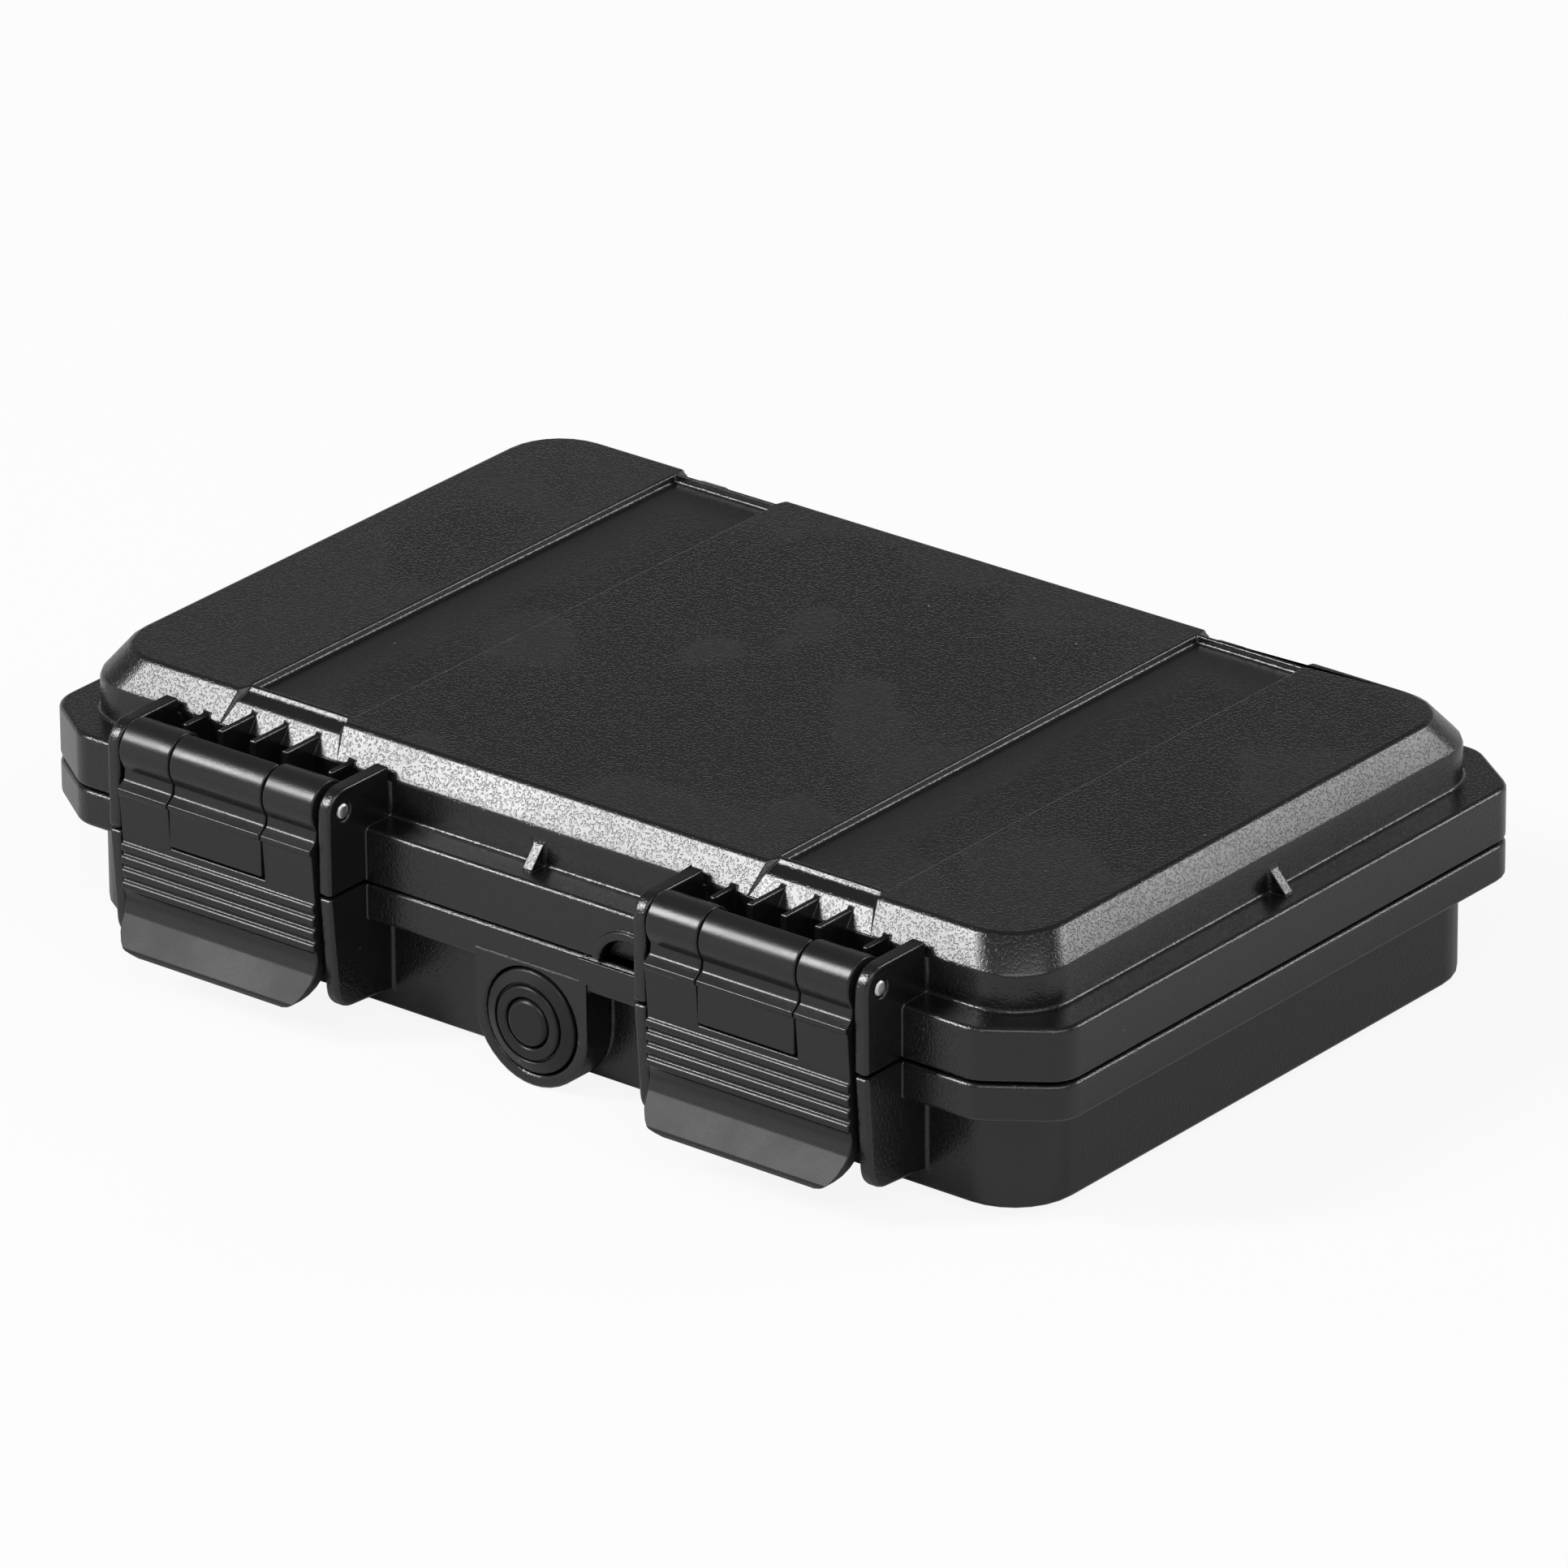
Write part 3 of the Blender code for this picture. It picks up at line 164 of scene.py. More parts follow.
FINE_GRAIN_TIMES = 2.3
FINE_GRAIN_SHARE = 0.25
PIT_RIM = (0.34, 0.50)
SHEEN_PATCH_RIM = (0.35, 0.65)
SPECK_RIM = (0.4, 1.0)


def new_group(name, inputs, outputs):
    """A shader node group with named sockets, each (name, type, default)."""
    group = bpy.data.node_groups.new(name, "ShaderNodeTree")
    for label, kind, default in inputs:
        socket = group.interface.new_socket(label, in_out="INPUT", socket_type=kind)
        if default is not None:
            socket.default_value = default
    for label, kind in outputs:
        group.interface.new_socket(label, in_out="OUTPUT", socket_type=kind)
    return group, group.nodes.new("NodeGroupInput"), group.nodes.new("NodeGroupOutput")


def value_node(tree, operation, first, second):
    """A Math node whose inputs are sockets or numbers."""
    node = tree.nodes.new("ShaderNodeMath")
    node.operation = operation
    for socket, source in zip(node.inputs, (first, second)):
        if isinstance(source, bpy.types.NodeSocket):
            tree.links.new(source, socket)
        else:
            socket.default_value = source
    return node.outputs[0]


def noise_node(tree, vector, scale, detail, roughness):
    node = tree.nodes.new("ShaderNodeTexNoise")
    node.inputs["Detail"].default_value = detail
    node.inputs["Roughness"].default_value = roughness
    tree.links.new(vector, node.inputs["Vector"])
    tree.links.new(scale, node.inputs["Scale"])
    return node.outputs["Fac"]


def ramp_between(tree, source, low, high):
    """Maps a value between two limits smoothly to 0 and 1."""
    node = tree.nodes.new("ShaderNodeMapRange")
    node.interpolation_type = "SMOOTHSTEP"
    tree.links.new(source, node.inputs["Value"])
    node.inputs["From Min"].default_value = low
    node.inputs["From Max"].default_value = high
    return node.outputs["Result"]


def make_grain_group():
    """The spark-eroded grain of a mould: small pits in a nearly flat skin, as a height from 0 to 1."""
    group, given, result = new_group(
        "moulded_grain",
        [("Vector", "NodeSocketVector", None), ("Size", "NodeSocketFloat", 0.0009)],
        [("Height", "NodeSocketFloat")],
    )
    scale = value_node(group, "DIVIDE", 1.0, given.outputs["Size"])
    fine_scale = value_node(group, "MULTIPLY", scale, FINE_GRAIN_TIMES)
    coarse = noise_node(group, given.outputs["Vector"], scale, detail=1.0, roughness=0.5)
    fine = noise_node(group, given.outputs["Vector"], fine_scale, detail=2.0, roughness=0.55)
    skin = ramp_between(group, coarse, *PIT_RIM)
    skin_share = value_node(group, "MULTIPLY", skin, 1 - FINE_GRAIN_SHARE)
    fine_share = value_node(group, "MULTIPLY", fine, FINE_GRAIN_SHARE)
    height = value_node(group, "ADD", skin_share, fine_share)
    group.links.new(height, result.inputs["Height"])
    return group


def make_sheen_group():
    """Patches where handling has left the plastic smoother or duller, as a roughness."""
    group, given, result = new_group(
        "handled_sheen",
        [
            ("Vector", "NodeSocketVector", None),
            ("Patch size", "NodeSocketFloat", 0.03),
            ("Smoothest", "NodeSocketFloat", 0.4),
            ("Dullest", "NodeSocketFloat", 0.5),
        ],
        [("Roughness", "NodeSocketFloat")],
    )
    scale = value_node(group, "DIVIDE", 1.0, given.outputs["Patch size"])
    patches = noise_node(group, given.outputs["Vector"], scale, detail=4.0, roughness=0.6)
    share = ramp_between(group, patches, *SHEEN_PATCH_RIM)
    spread = value_node(group, "SUBTRACT", given.outputs["Dullest"], given.outputs["Smoothest"])
    above = value_node(group, "MULTIPLY", share, spread)
    roughness = value_node(group, "ADD", given.outputs["Smoothest"], above)
    group.links.new(roughness, result.inputs["Roughness"])
    return group


def make_dust_group():
    """A few specks of pale dust with soft rims, as a mask."""
    group, given, result = new_group(
        "dust_specks",
        [
            ("Vector", "NodeSocketVector", None),
            ("Spacing", "NodeSocketFloat", 0.012),
            ("Speck share", "NodeSocketFloat", 0.05),
        ],
        [("Mask", "NodeSocketFloat")],
    )
    cells = group.nodes.new("ShaderNodeTexVoronoi")
    group.links.new(given.outputs["Vector"], cells.inputs["Vector"])
    scale = value_node(group, "DIVIDE", 1.0, given.outputs["Spacing"])
    group.links.new(scale, cells.inputs["Scale"])
    reach = value_node(group, "DIVIDE", cells.outputs["Distance"], given.outputs["Speck share"])
    far = ramp_between(group, reach, *SPECK_RIM)
    mask = value_node(group, "SUBTRACT", 1.0, far)
    group.links.new(mask, result.inputs["Mask"])
    return group


# Materials: a sheen is (patch size, smoothest, dullest) and a grain is (size, depth)

SHELL_SHEEN, SHELL_SPECULAR = (0.05, 0.25, 0.28), 0.50
LATCH_SHEEN, LATCH_SPECULAR = (0.02, 0.24, 0.30), 0.36
VALVE_SHEEN, VALVE_SPECULAR = (0.01, 0.30, 0.38), 0.30
RUBBER_SHEEN, RUBBER_SPECULAR = (0.01, 0.60, 0.75), 0.25
PIN_SHEEN = (0.002, 0.36, 0.50)
PIN_GRAIN = (0.0003, 0.00002)
DUST_COLOUR = (0.11, 0.11, 0.105)
DUST_SPACING = 0.011
DUST_SPECK_SHARE = 0.026
FINE_SIZE_SHARE = 1 / 2
FINE_DEPTH_SHARE = 1 / 4
GRIP_FADE_SHARE = 1 / 12
GRIP_ROUGHER = 0.24


def new_material(name):
    material = bpy.data.materials.new(name)
    material.use_nodes = True
    return material, material.node_tree, material.node_tree.nodes["Principled BSDF"]


def place_group(tree, group, **values):
    """Puts a shared group in a material, fed with Object coordinates."""
    node = tree.nodes.new("ShaderNodeGroup")
    node.node_tree = group
    coordinates = tree.nodes.new("ShaderNodeTexCoord")
    tree.links.new(coordinates.outputs["Object"], node.inputs["Vector"])
    for label, value in values.items():
        node.inputs[label.replace("_", " ")].default_value = value
    return node


def add_grain(tree, shader, groups, size, depth):
    grain = place_group(tree, groups["grain"], Size=size)
    bump = tree.nodes.new("ShaderNodeBump")
    bump.inputs["Distance"].default_value = depth
    tree.links.new(grain.outputs["Height"], bump.inputs["Height"])
    tree.links.new(bump.outputs["Normal"], shader.inputs["Normal"])


def add_sheen(tree, shader, groups, patch_size, smoothest, dullest):
    sheen = place_group(tree, groups["sheen"], Patch_size=patch_size, Smoothest=smoothest, Dullest=dullest)
    tree.links.new(sheen.outputs["Roughness"], shader.inputs["Roughness"])


def add_dusted_colour(tree, shader, groups, colour):
    dust = place_group(tree, groups["dust"], Spacing=DUST_SPACING, Speck_share=DUST_SPECK_SHARE)
    mix = tree.nodes.new("ShaderNodeMix")
    mix.data_type = "RGBA"
    factor, clean, dusty = mix.inputs[0], mix.inputs[6], mix.inputs[7]
    clean.default_value = (*colour, 1)
    dusty.default_value = (*DUST_COLOUR, 1)
    tree.links.new(dust.outputs["Mask"], factor)
    tree.links.new(mix.outputs[2], shader.inputs["Base Color"])


def make_plastic(name, colour, grain, sheen, specular, groups):
    """Black moulded plastic or rubber, grained, unevenly worn and slightly dusty."""
    material, tree, shader = new_material(name)
    add_grain(tree, shader, groups, *grain)
    add_sheen(tree, shader, groups, *sheen)
    add_dusted_colour(tree, shader, groups, colour)
    shader.inputs["Specular IOR Level"].default_value = specular
    return material


def roughen_below(material, height, fade, extra):
    """Adds roughness to a material under a height, where its mould is textured for the fingers."""
    tree = material.node_tree
    roughness = tree.nodes["Principled BSDF"].inputs["Roughness"]
    plain = roughness.links[0].from_socket
    coordinates = tree.nodes.new("ShaderNodeTexCoord")
    split = tree.nodes.new("ShaderNodeSeparateXYZ")
    tree.links.new(coordinates.outputs["Object"], split.inputs[0])
    above = ramp_between(tree, split.outputs["Z"], height - fade, height)
    below = value_node(tree, "SUBTRACT", 1.0, above)
    added = value_node(tree, "MULTIPLY", below, extra)
    total = value_node(tree, "ADD", plain, added)
    tree.links.new(total, roughness)


def make_steel(name, colour, groups):
    """Cut pin stock: a fine grain and a little dulling."""
    material, tree, shader = new_material(name)
    shader.inputs["Base Color"].default_value = (*colour, 1)
    shader.inputs["Metallic"].default_value = 1.0
    add_grain(tree, shader, groups, *PIN_GRAIN)
    add_sheen(tree, shader, groups, *PIN_SHEEN)
    return material


def make_materials():
    """The materials of the record's slots, made once."""
    finishes = bpy.context.scene.case_finishes
    groups = {"grain": make_grain_group(), "sheen": make_sheen_group(), "dust": make_dust_group()}
    grain = (finishes.grain_size, finishes.grain_depth)
    fine = (finishes.grain_size * FINE_SIZE_SHARE, finishes.grain_depth * FINE_DEPTH_SHARE)
    plastics = {
        "latch": ("latch_plastic", finishes.latch_colour, fine, LATCH_SHEEN, LATCH_SPECULAR),
        "shell": ("shell_plastic", finishes.shell_colour, grain, SHELL_SHEEN, SHELL_SPECULAR),
        "valve": ("valve_plastic", finishes.valve_colour, fine, VALVE_SHEEN, VALVE_SPECULAR),
        "rubber": ("seal_rubber", finishes.rubber_colour, fine, RUBBER_SHEEN, RUBBER_SPECULAR),
    }
    materials = {slot: make_plastic(*look, groups) for slot, look in plastics.items()}
    roughen_below(
        materials["latch"], finishes.grip_height, finishes.grip_height * GRIP_FADE_SHARE, GRIP_ROUGHER)
    materials["steel"] = make_steel("pin_steel", finishes.steel_colour, groups)
    return materials


# Pieces

SLOT_OF = {part["node"]: part["material_slot"] for part in frame["record"]["subparts"]}
BODY_OF = {
    node: body for body, nodes in frame["record"]["behaviour"]["bodies"].items() for node in nodes
}
MERGE_DISTANCE = 0.000002
EDGE_SEGMENTS = 3
PIN_SEGMENTS = 6
ROUNDED_SHARE = 0.40
OFF_SURFACE_SHARE = 0.45
SIDEWAYS = math.cos(math.radians(35))
AHEAD = math.cos(math.radians(60))
SMALLEST_SHRINK = 0.001
SLIGHTEST_TURN = math.radians(0.1)
WIDEST_TURN = math.radians(40)
WIDTH_SLACK = 0.000001
FLAT_ANGLE = math.radians(0.6)
SMOOTH_ANGLE = math.radians(30)
SHELL_SHARPEST = math.radians(24)
FINE_SHARPEST = math.radians(28)
PIN_SHARPEST = math.radians(60)
SIDES = ("left", "right")

LEVEL_SLACK = 0.0001
RECESS_TOP = 0.05045
RECESS_TOP_Y = 0.0623
RECESS_TOP_OUT = 0.00155
FIN_TOP = 0.0495
FIN_ROOT_Y = 0.06339
FIN_ROOT_OUT = 0.00116


def merged_copy(node_name, piece_name):
    """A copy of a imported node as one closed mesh, with the triangles of each flat face joined."""
    bpy.ops.object.select_all(action="DESELECT")
    piece = bpy.data.objects.new(piece_name, frame["nodes"][node_name].data.copy())
    bpy.context.scene.collection.objects.link(piece)
    piece.select_set(True)
    bpy.context.view_layer.objects.active = piece
    bpy.ops.object.mode_set(mode="EDIT")
    bpy.ops.mesh.select_all(action="SELECT")
    bpy.ops.mesh.remove_doubles(threshold=MERGE_DISTANCE)
    bpy.ops.mesh.dissolve_limited(angle_limit=FLAT_ANGLE)
    bpy.ops.mesh.normals_make_consistent(inside=False)
    bpy.ops.object.mode_set(mode="OBJECT")
    return piece


def loop_ends(loop):
    """Both ends of a face's edge, in the order that runs round the face, and the direction into the face."""
    start, end = loop.vert.co, loop.link_loop_next.vert.co
    return start, end, loop.face.normal.cross((end - start).normalized())


def face_reach(loop):
    """How far a face reaches from the middle of one of its edges to the nearest edge that faces it."""
    start, end, inward = loop_ends(loop)
    middle = (start + end) / 2
    reach = max((corner.co - middle).dot(inward) for corner in loop.face.verts)
    for other in loop.face.loops:
        first, second, back = loop_ends(other)
        if inward.dot(back) < 0 and set(other.edge.verts).isdisjoint(loop.edge.verts):
            share = intersect_point_line(middle, first, second)[1]
            offset = first.lerp(second, max(0, min(1, share))) - middle
            if offset.dot(inward) > offset.length * AHEAD:
                reach = min(reach, offset.length)
    return reach


def sideways_room(edge):
    """Lengths of the edges that leave an edge's two corners sideways, along which its rounding slides."""
    for corner in edge.verts:
        along = (edge.other_vert(corner).co - corner.co).normalized()
        for other in corner.link_edges:
            leaving = (other.other_vert(corner).co - corner.co).normalized()
            if abs(along.dot(leaving)) < SIDEWAYS:
                yield other.calc_length()


def turning_room(loop, widths):
    """Twice the depth at which a rounded edge's inner line shrinks to nothing between its neighbours'."""
    shrink = 0
    for corner, beside in ((loop, loop.link_loop_prev), (loop.link_loop_next, loop.link_loop_next)):
        if beside.edge in widths and corner.is_convex:
            shrink += math.tan((math.pi - corner.calc_angle()) / 2)
    return 2 * loop.edge.calc_length() / max(shrink, SMALLEST_SHRINK)


def match_neighbours(shape, widths):
    """Narrows edges that run on into narrower or sharp ones at a slight turn, so that their lines meet."""
    pairs = []
    for face in shape.faces:
        for corner in face.loops:
            edges = (corner.edge, corner.link_loop_prev.edge)
            rounded = [edge for edge in edges if edge in widths]
            turn = math.pi - corner.calc_angle()
            if rounded and SLIGHTEST_TURN < turn < WIDEST_TURN:
                slack = ROUNDED_SHARE * min(edge.calc_length() for edge in edges) * math.sin(turn)
                if len(rounded) == len(edges):
                    pairs.append((*edges, slack))
                else:
                    widths[rounded[0]] = min(widths[rounded[0]], slack)
    changed = True
    while changed:
        changed = False
        for first, second, slack in pairs:
            narrow, wide = sorted((first, second), key=widths.get)
            if widths[wide] > widths[narrow] + slack + WIDTH_SLACK:
                widths[wide] = widths[narrow] + slack
                changed = True


def weigh_edges(piece, width, sharpest):
    """Marks each sharp edge with the share of the width for which its faces and neighbours leave room."""
    shape = bmesh.new()
    shape.from_mesh(piece.data)
    weights = shape.edges.layers.float.new("bevel_weight_edge")
    widths = {edge: width for edge in shape.edges if edge.calc_face_angle(0) > sharpest}
    for edge in widths:
        room = [face_reach(loop) for loop in edge.link_loops]
        room.extend(sideways_room(edge))
        room.extend(turning_room(loop, widths) for loop in edge.link_loops)
        widths[edge] = max(0, min(width, ROUNDED_SHARE * min(room)))
    match_neighbours(shape, widths)
    for edge in widths:
        edge[weights] = widths[edge] / width
    shape.to_mesh(piece.data)
    shape.free()


def moulded_surface(piece):
    """The piece's faces before any rounding, to measure distances from."""
    shape = bmesh.new()
    shape.from_mesh(piece.data)
    surface = BVHTree.FromBMesh(shape)
    shape.free()
    return surface


def settle_on(piece, surface, farthest):
    """Puts corners that lie farther off a surface than any true rounding back on it."""
    for corner in piece.data.vertices:
        nearest, _, _, distance = surface.find_nearest(corner.co)
        if distance > farthest:
            corner.co = nearest


def round_edges(piece, width, sharpest, segments=EDGE_SEGMENTS):
    """Rounds every edge that turns by more than an angle, and shades the rest as smooth surfaces."""
    surface = moulded_surface(piece)
    weigh_edges(piece, width, sharpest)
    bevel = piece.modifiers.new("edge_radius", "BEVEL")
    bevel.width = width
    bevel.segments = segments
    bevel.limit_method = "WEIGHT"
    bevel.use_clamp_overlap = False
    bpy.ops.object.modifier_apply(modifier=bevel.name)
    settle_on(piece, surface, OFF_SURFACE_SHARE * width)
    bpy.ops.object.shade_smooth_by_angle(angle=SMOOTH_ANGLE)
    weighted = piece.modifiers.new("flat_faces", "WEIGHTED_NORMAL")
    weighted.keep_sharp = True
    bpy.ops.object.modifier_apply(modifier=weighted.name)


def dress_piece(piece, node_name):
    """Hands a finished piece over: the material of its node's slot and its body, and hides the imported node.
    """
    slot = SLOT_OF[node_name]
    piece.data.materials.clear()
    piece.data.materials.append(case_materials[slot])
    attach(piece, BODY_OF[node_name])
    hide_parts(node_name)


def make_pieces(pieces, width, sharpest, segments=EDGE_SEGMENTS):
    """Makes a group of like pieces, each (node, piece name)."""
    for node_name, piece_name in pieces:
        piece = merged_copy(node_name, piece_name)
        round_edges(piece, width, sharpest, segments)
        dress_piece(piece, node_name)


def shift_corners(piece, height, from_middle, outward):
    """Moves the corners at one height and one distance from the middle outwards along Y, at both ends."""
    for end in (-1, 1):
        bpy.ops.object.mode_set(mode="EDIT")
        bpy.ops.mesh.select_all(action="DESELECT")
        shape = bmesh.from_edit_mesh(piece.data)
        for corner in shape.verts:
            level = abs(corner.co.z - height) < LEVEL_SLACK
            corner.select = level and abs(end * corner.co.y - from_middle) < LEVEL_SLACK
        shape.select_flush_mode()
        bmesh.update_edit_mesh(piece.data)
        bpy.ops.transform.translate(value=(0, end * outward, 0))
        bpy.ops.object.mode_set(mode="OBJECT")


def steepen_recesses(piece):
    """Brings the slope under each channel's end parallel to the rim's bevel, so that both catch one light."""
    shift_corners(piece, RECESS_TOP, RECESS_TOP_Y, RECESS_TOP_OUT)
    shift_corners(piece, FIN_TOP, FIN_ROOT_Y, FIN_ROOT_OUT)


case_materials = {}


class CASE_OT_mix_finishes(bpy.types.Operator):
    """Make the materials of the shells, latches, valve, pins and seals"""

    bl_idname = "case.mix_finishes"
    bl_label = "Mix the finishes"

    def execute(self, context):
        case_materials.update(make_materials())
        return {"FINISHED"}


class CASE_OT_mould_shells(bpy.types.Operator):
    """Mould the lower and upper shell with their edge radii"""

    bl_idname = "case.mould_shells"
    bl_label = "Mould the shells"

    def execute(self, context):
        width = context.scene.case_edges.shell_edge
        make_pieces((("base_shell", "base_moulding"),), width, SHELL_SHARPEST)
        lid = merged_copy("lid_shell", "lid_moulding")
        steepen_recesses(lid)
        round_edges(lid, width, SHELL_SHARPEST)
        dress_piece(lid, "lid_shell")
        return {"FINISHED"}


class CASE_OT_mould_latches(bpy.types.Operator):
    """Mould the levers and the hook plates in their windows"""

    bl_idname = "case.mould_latches"
    bl_label = "Mould the latches"

    def execute(self, context):
        pieces = []
        for side in SIDES:
            pieces.append((f"latch_lever_{side}", f"lever_{side}_moulding"))
            pieces.append((f"latch_hook_{side}", f"hook_{side}_plate"))
        make_pieces(pieces, context.scene.case_edges.latch_edge, FINE_SHARPEST)
        return {"FINISHED"}


class CASE_OT_cut_pins(bpy.types.Operator):
    """Cut the steel pins of the latches and hinges"""

    bl_idname = "case.cut_pins"
    bl_label = "Cut the pins"

    def execute(self, context):
        pieces = []
        for side in SIDES:
            pieces.append((f"hinge_pin_{side}", f"hinge_{side}_steel"))
            pieces.append((f"latch_link_pin_{side}", f"link_{side}_steel"))
            for end in ("inner", "outer"):
                pieces.append((f"latch_pivot_pin_{side}_{end}", f"pivot_{side}_{end}_steel"))
        make_pieces(pieces, context.scene.case_edges.pin_edge, PIN_SHARPEST, PIN_SEGMENTS)
        return {"FINISHED"}


class CASE_OT_mould_valve(bpy.types.Operator):
    """Mould the air valve's housing, cap and nut"""

    bl_idname = "case.mould_valve"
    bl_label = "Mould the valve"

    def execute(self, context):
        pieces = (
            ("valve_housing", "valve_body"),
            ("valve_cap", "valve_cover"),
            ("valve_nut", "valve_ring_nut"),
        )
        make_pieces(pieces, context.scene.case_edges.valve_edge, FINE_SHARPEST)
        return {"FINISHED"}


class CASE_OT_lay_seals(bpy.types.Operator):
    """Lay the lid's gasket, the valve's sealing ring and its membrane"""

    bl_idname = "case.lay_seals"
    bl_label = "Lay the seals"

    def execute(self, context):
        pieces = (
            ("lid_gasket", "gasket_cord"),
            ("valve_seal", "valve_o_ring"),
            ("valve_membrane", "valve_disc"),
        )
        make_pieces(pieces, context.scene.case_edges.seal_edge, FINE_SHARPEST)
        return {"FINISHED"}


# Stage

KEY_DIRECTION = (-0.531, -0.597, 0.602)
RIM_DIRECTION = (0.569, 0.685, 0.454)
FILL_DIRECTION = (0.565, -0.423, 0.705)
KEY_SPREAD = (math.radians(12), math.radians(22))
RIM_SPREAD = (math.radians(17), math.radians(17))
FILL_SPREAD = (math.radians(64), math.radians(26))
BACKDROP_FADE = (0.10, 0.24)
WHITE = (1, 1, 1, 1)
FLOOR_ROUGHNESS = 0.9
FLOOR_SPECULAR = 0.1
SENSOR_WIDTH = 36
CLIP_RANGE = (0.1, 50)


def camera_axes(stage):
    """The camera's right, up and back directions."""
    turn, rise, roll = stage.azimuth, stage.elevation, stage.roll
    back = Vector((math.sin(turn) * math.cos(rise), -math.cos(turn) * math.cos(rise), math.sin(rise)))
    level_right = Vector((math.cos(turn), math.sin(turn), 0))
    level_up = back.cross(level_right)
    right = level_right * math.cos(roll) + level_up * math.sin(roll)
    up = level_up * math.cos(roll) - level_right * math.sin(roll)
    return right, up, back


def add_camera(stage):
    right, up, back = camera_axes(stage)
    data = bpy.data.cameras.new("picture_camera")
    data.sensor_width = SENSOR_WIDTH
    data.lens = stage.lens
    data.clip_start, data.clip_end = CLIP_RANGE
    camera = bpy.data.objects.new("picture_camera", data)
    bpy.context.scene.collection.objects.link(camera)
    turned = Matrix((right, up, back)).transposed().to_4x4()
    place = right * stage.across + up * stage.up + back * stage.distance
    camera.matrix_world = Matrix.Translation(place) @ turned
    bpy.context.scene.camera = camera


def add_softbox(name, direction, spread, brightness, stage):
    """A soft lamp that faces the case from a direction, as wide and high as two angles seen from there."""
    data = bpy.data.lights.new(name, "AREA")
    data.shape = "RECTANGLE"
    data.size, data.size_y = (2 * stage.lamp_distance * math.tan(angle / 2) for angle in spread)
    data.energy = brightness * math.pi * data.size * data.size_y
    lamp = bpy.data.objects.new(name, data)
    bpy.context.scene.collection.objects.link(lamp)
    towards = Vector(direction).normalized()
    lamp.location = towards * stage.lamp_distance
    lamp.rotation_mode = "QUATERNION"
    lamp.rotation_quaternion = towards.to_track_quat("Z", "Y")
    lamp.visible_camera = False


def ray_kinds(tree):
    """Two masks: rays from the camera, and rays that a mirror or glass has turned."""
    path = tree.nodes.new("ShaderNodeLightPath")
    turned = value_node(tree, "MAXIMUM", path.outputs["Is Glossy Ray"], path.outputs["Is Transmission Ray"])
    return path.outputs["Is Camera Ray"], turned


def make_world(stage):
    """Even room light, with a white backdrop that the camera sees all round and reflections see low down."""
    world = bpy.data.worlds.new("studio")
    bpy.context.scene.world = world
    world.use_nodes = True
    tree = world.node_tree
    tree.nodes.clear()
    room = tree.nodes.new("ShaderNodeBackground")
    room.inputs["Strength"].default_value = stage.room_light
    white = tree.nodes.new("ShaderNodeBackground")
    white.inputs["Color"].default_value = WHITE
    camera, turned = ray_kinds(tree)
    coordinates = tree.nodes.new("ShaderNodeTexCoord")
    split = tree.nodes.new("ShaderNodeSeparateXYZ")
    tree.links.new(coordinates.outputs["Generated"], split.inputs[0])
    above = ramp_between(tree, split.outputs["Z"], *BACKDROP_FADE)
    low = value_node(tree, "SUBTRACT", 1.0, above)
    backdrop = value_node(tree, "MULTIPLY", turned, low)
    seen = value_node(tree, "MAXIMUM", camera, backdrop)
    mix = tree.nodes.new("ShaderNodeMixShader")
    output = tree.nodes.new("ShaderNodeOutputWorld")
    tree.links.new(seen, mix.inputs["Fac"])
    tree.links.new(room.outputs[0], mix.inputs[1])
    tree.links.new(white.outputs[0], mix.inputs[2])
    tree.links.new(mix.outputs[0], output.inputs["Surface"])


def make_floor_material(stage):
    """A pale floor that the camera sees nearly white, and that reflections show with the case's shadow."""
    material, tree, shader = new_material("pale_floor")
    shader.inputs["Base Color"].default_value = (*stage.floor_colour, 1)
    shader.inputs["Roughness"].default_value = FLOOR_ROUGHNESS
    shader.inputs["Specular IOR Level"].default_value = FLOOR_SPECULAR
    glow = tree.nodes.new("ShaderNodeEmission")
    glow.inputs["Color"].default_value = WHITE
    glow.inputs["Strength"].default_value = 1.0
    camera, turned = ray_kinds(tree)
    seen = value_node(tree, "MULTIPLY", camera, stage.floor_glow)
    mirrored = value_node(tree, "MULTIPLY", turned, stage.mirrored_glow)
    share = value_node(tree, "MAXIMUM", seen, mirrored)
    mix = tree.nodes.new("ShaderNodeMixShader")
    tree.links.new(share, mix.inputs["Fac"])
    tree.links.new(shader.outputs[0], mix.inputs[1])
    tree.links.new(glow.outputs[0], mix.inputs[2])
    tree.links.new(mix.outputs[0], tree.nodes["Material Output"].inputs["Surface"])
    return material


def add_floor(stage):
    bpy.ops.object.select_all(action="DESELECT")
    bpy.ops.mesh.primitive_plane_add(size=2 * stage.floor_half, location=(0, 0, 0))
    floor = bpy.context.object
    floor.name = "studio_floor"
    floor.data.materials.append(make_floor_material(stage))


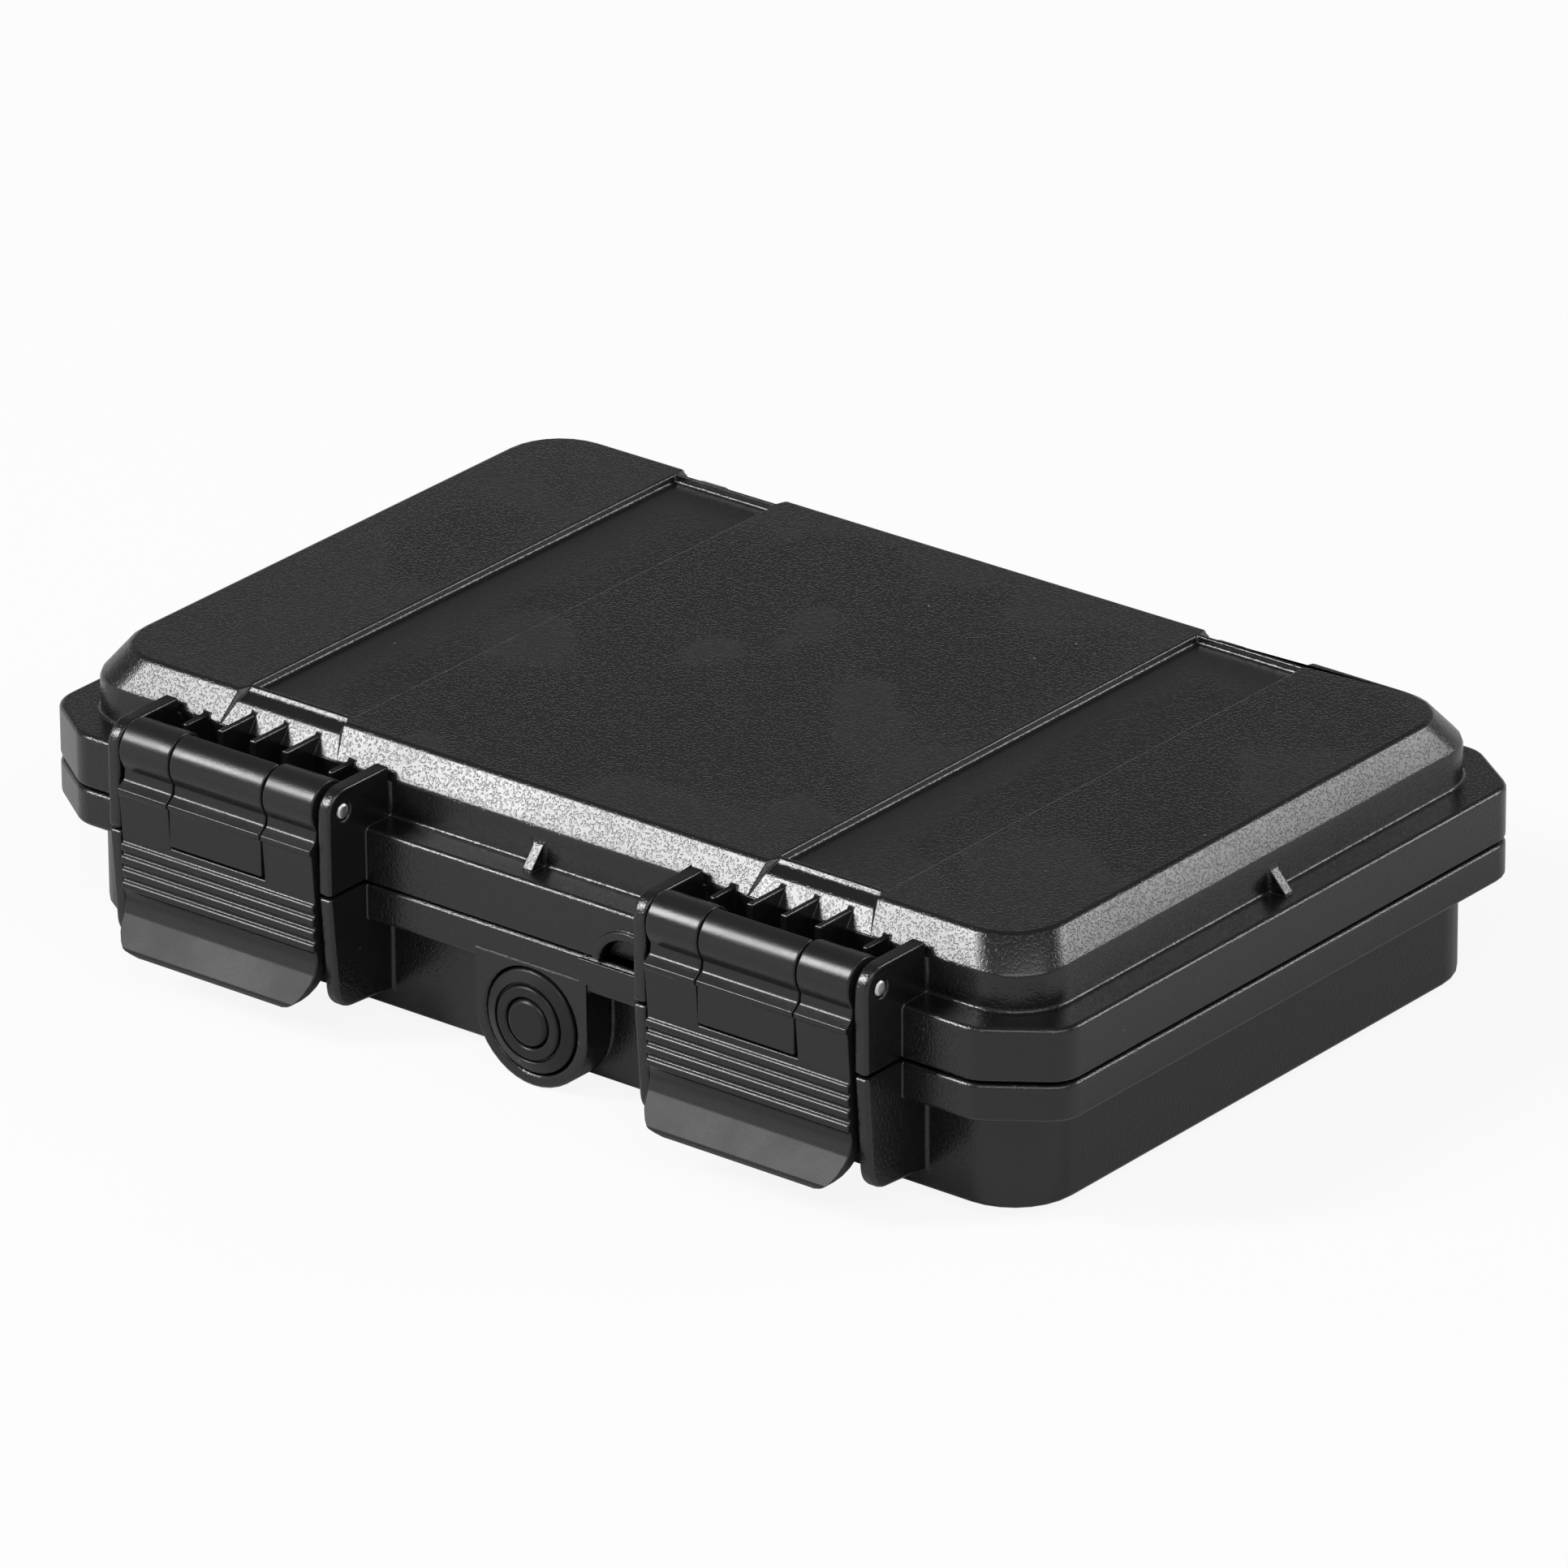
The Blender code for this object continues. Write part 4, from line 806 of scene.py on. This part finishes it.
class CASE_OT_set_stage(bpy.types.Operator):
    """Set the camera, lamps, floor and white background"""

    bl_idname = "case.set_stage"
    bl_label = "Set the stage"

    def execute(self, context):
        stage = context.scene.case_stage
        add_camera(stage)
        make_world(stage)
        add_floor(stage)
        add_softbox("key_softbox", KEY_DIRECTION, KEY_SPREAD, stage.key_brightness, stage)
        add_softbox("rim_softbox", RIM_DIRECTION, RIM_SPREAD, stage.rim_brightness, stage)
        add_softbox("fill_softbox", FILL_DIRECTION, FILL_SPREAD, stage.fill_brightness, stage)
        context.scene.view_settings.view_transform = "Standard"
        return {"FINISHED"}


class CASE_PT_dressing(bpy.types.Panel):
    """The case's settings and steps"""

    bl_idname = "CASE_PT_dressing"
    bl_label = "Compact hard case"
    bl_space_type = "VIEW_3D"
    bl_region_type = "UI"
    bl_category = "Hard case"

    def draw(self, context):
        scene = context.scene
        for settings in (scene.case_edges, scene.case_finishes, scene.case_stage):
            box = self.layout.box()
            for name in settings.__annotations__:
                box.prop(settings, name)
        for operator in STEPS:
            self.layout.operator(operator.bl_idname)


SETTINGS = {"case_edges": CaseEdges, "case_finishes": CaseFinishes, "case_stage": CaseStage}
STEPS = (
    CASE_OT_mix_finishes, CASE_OT_mould_shells, CASE_OT_mould_latches, CASE_OT_cut_pins,
    CASE_OT_mould_valve, CASE_OT_lay_seals, CASE_OT_set_stage,
)
CLASSES = (*SETTINGS.values(), *STEPS, CASE_PT_dressing)


def register():
    for item in CLASSES:
        bpy.utils.register_class(item)
    for name, group in SETTINGS.items():
        setattr(bpy.types.Scene, name, PointerProperty(type=group))


def unregister():
    for name in SETTINGS:
        delattr(bpy.types.Scene, name)
    for item in reversed(CLASSES):
        bpy.utils.unregister_class(item)


def main():
    register()
    bpy.ops.case.mix_finishes()
    bpy.ops.case.mould_shells()
    bpy.ops.case.mould_latches()
    bpy.ops.case.cut_pins()
    bpy.ops.case.mould_valve()
    bpy.ops.case.lay_seals()
    bpy.ops.case.set_stage()


if __name__ == "__main__":
    main()
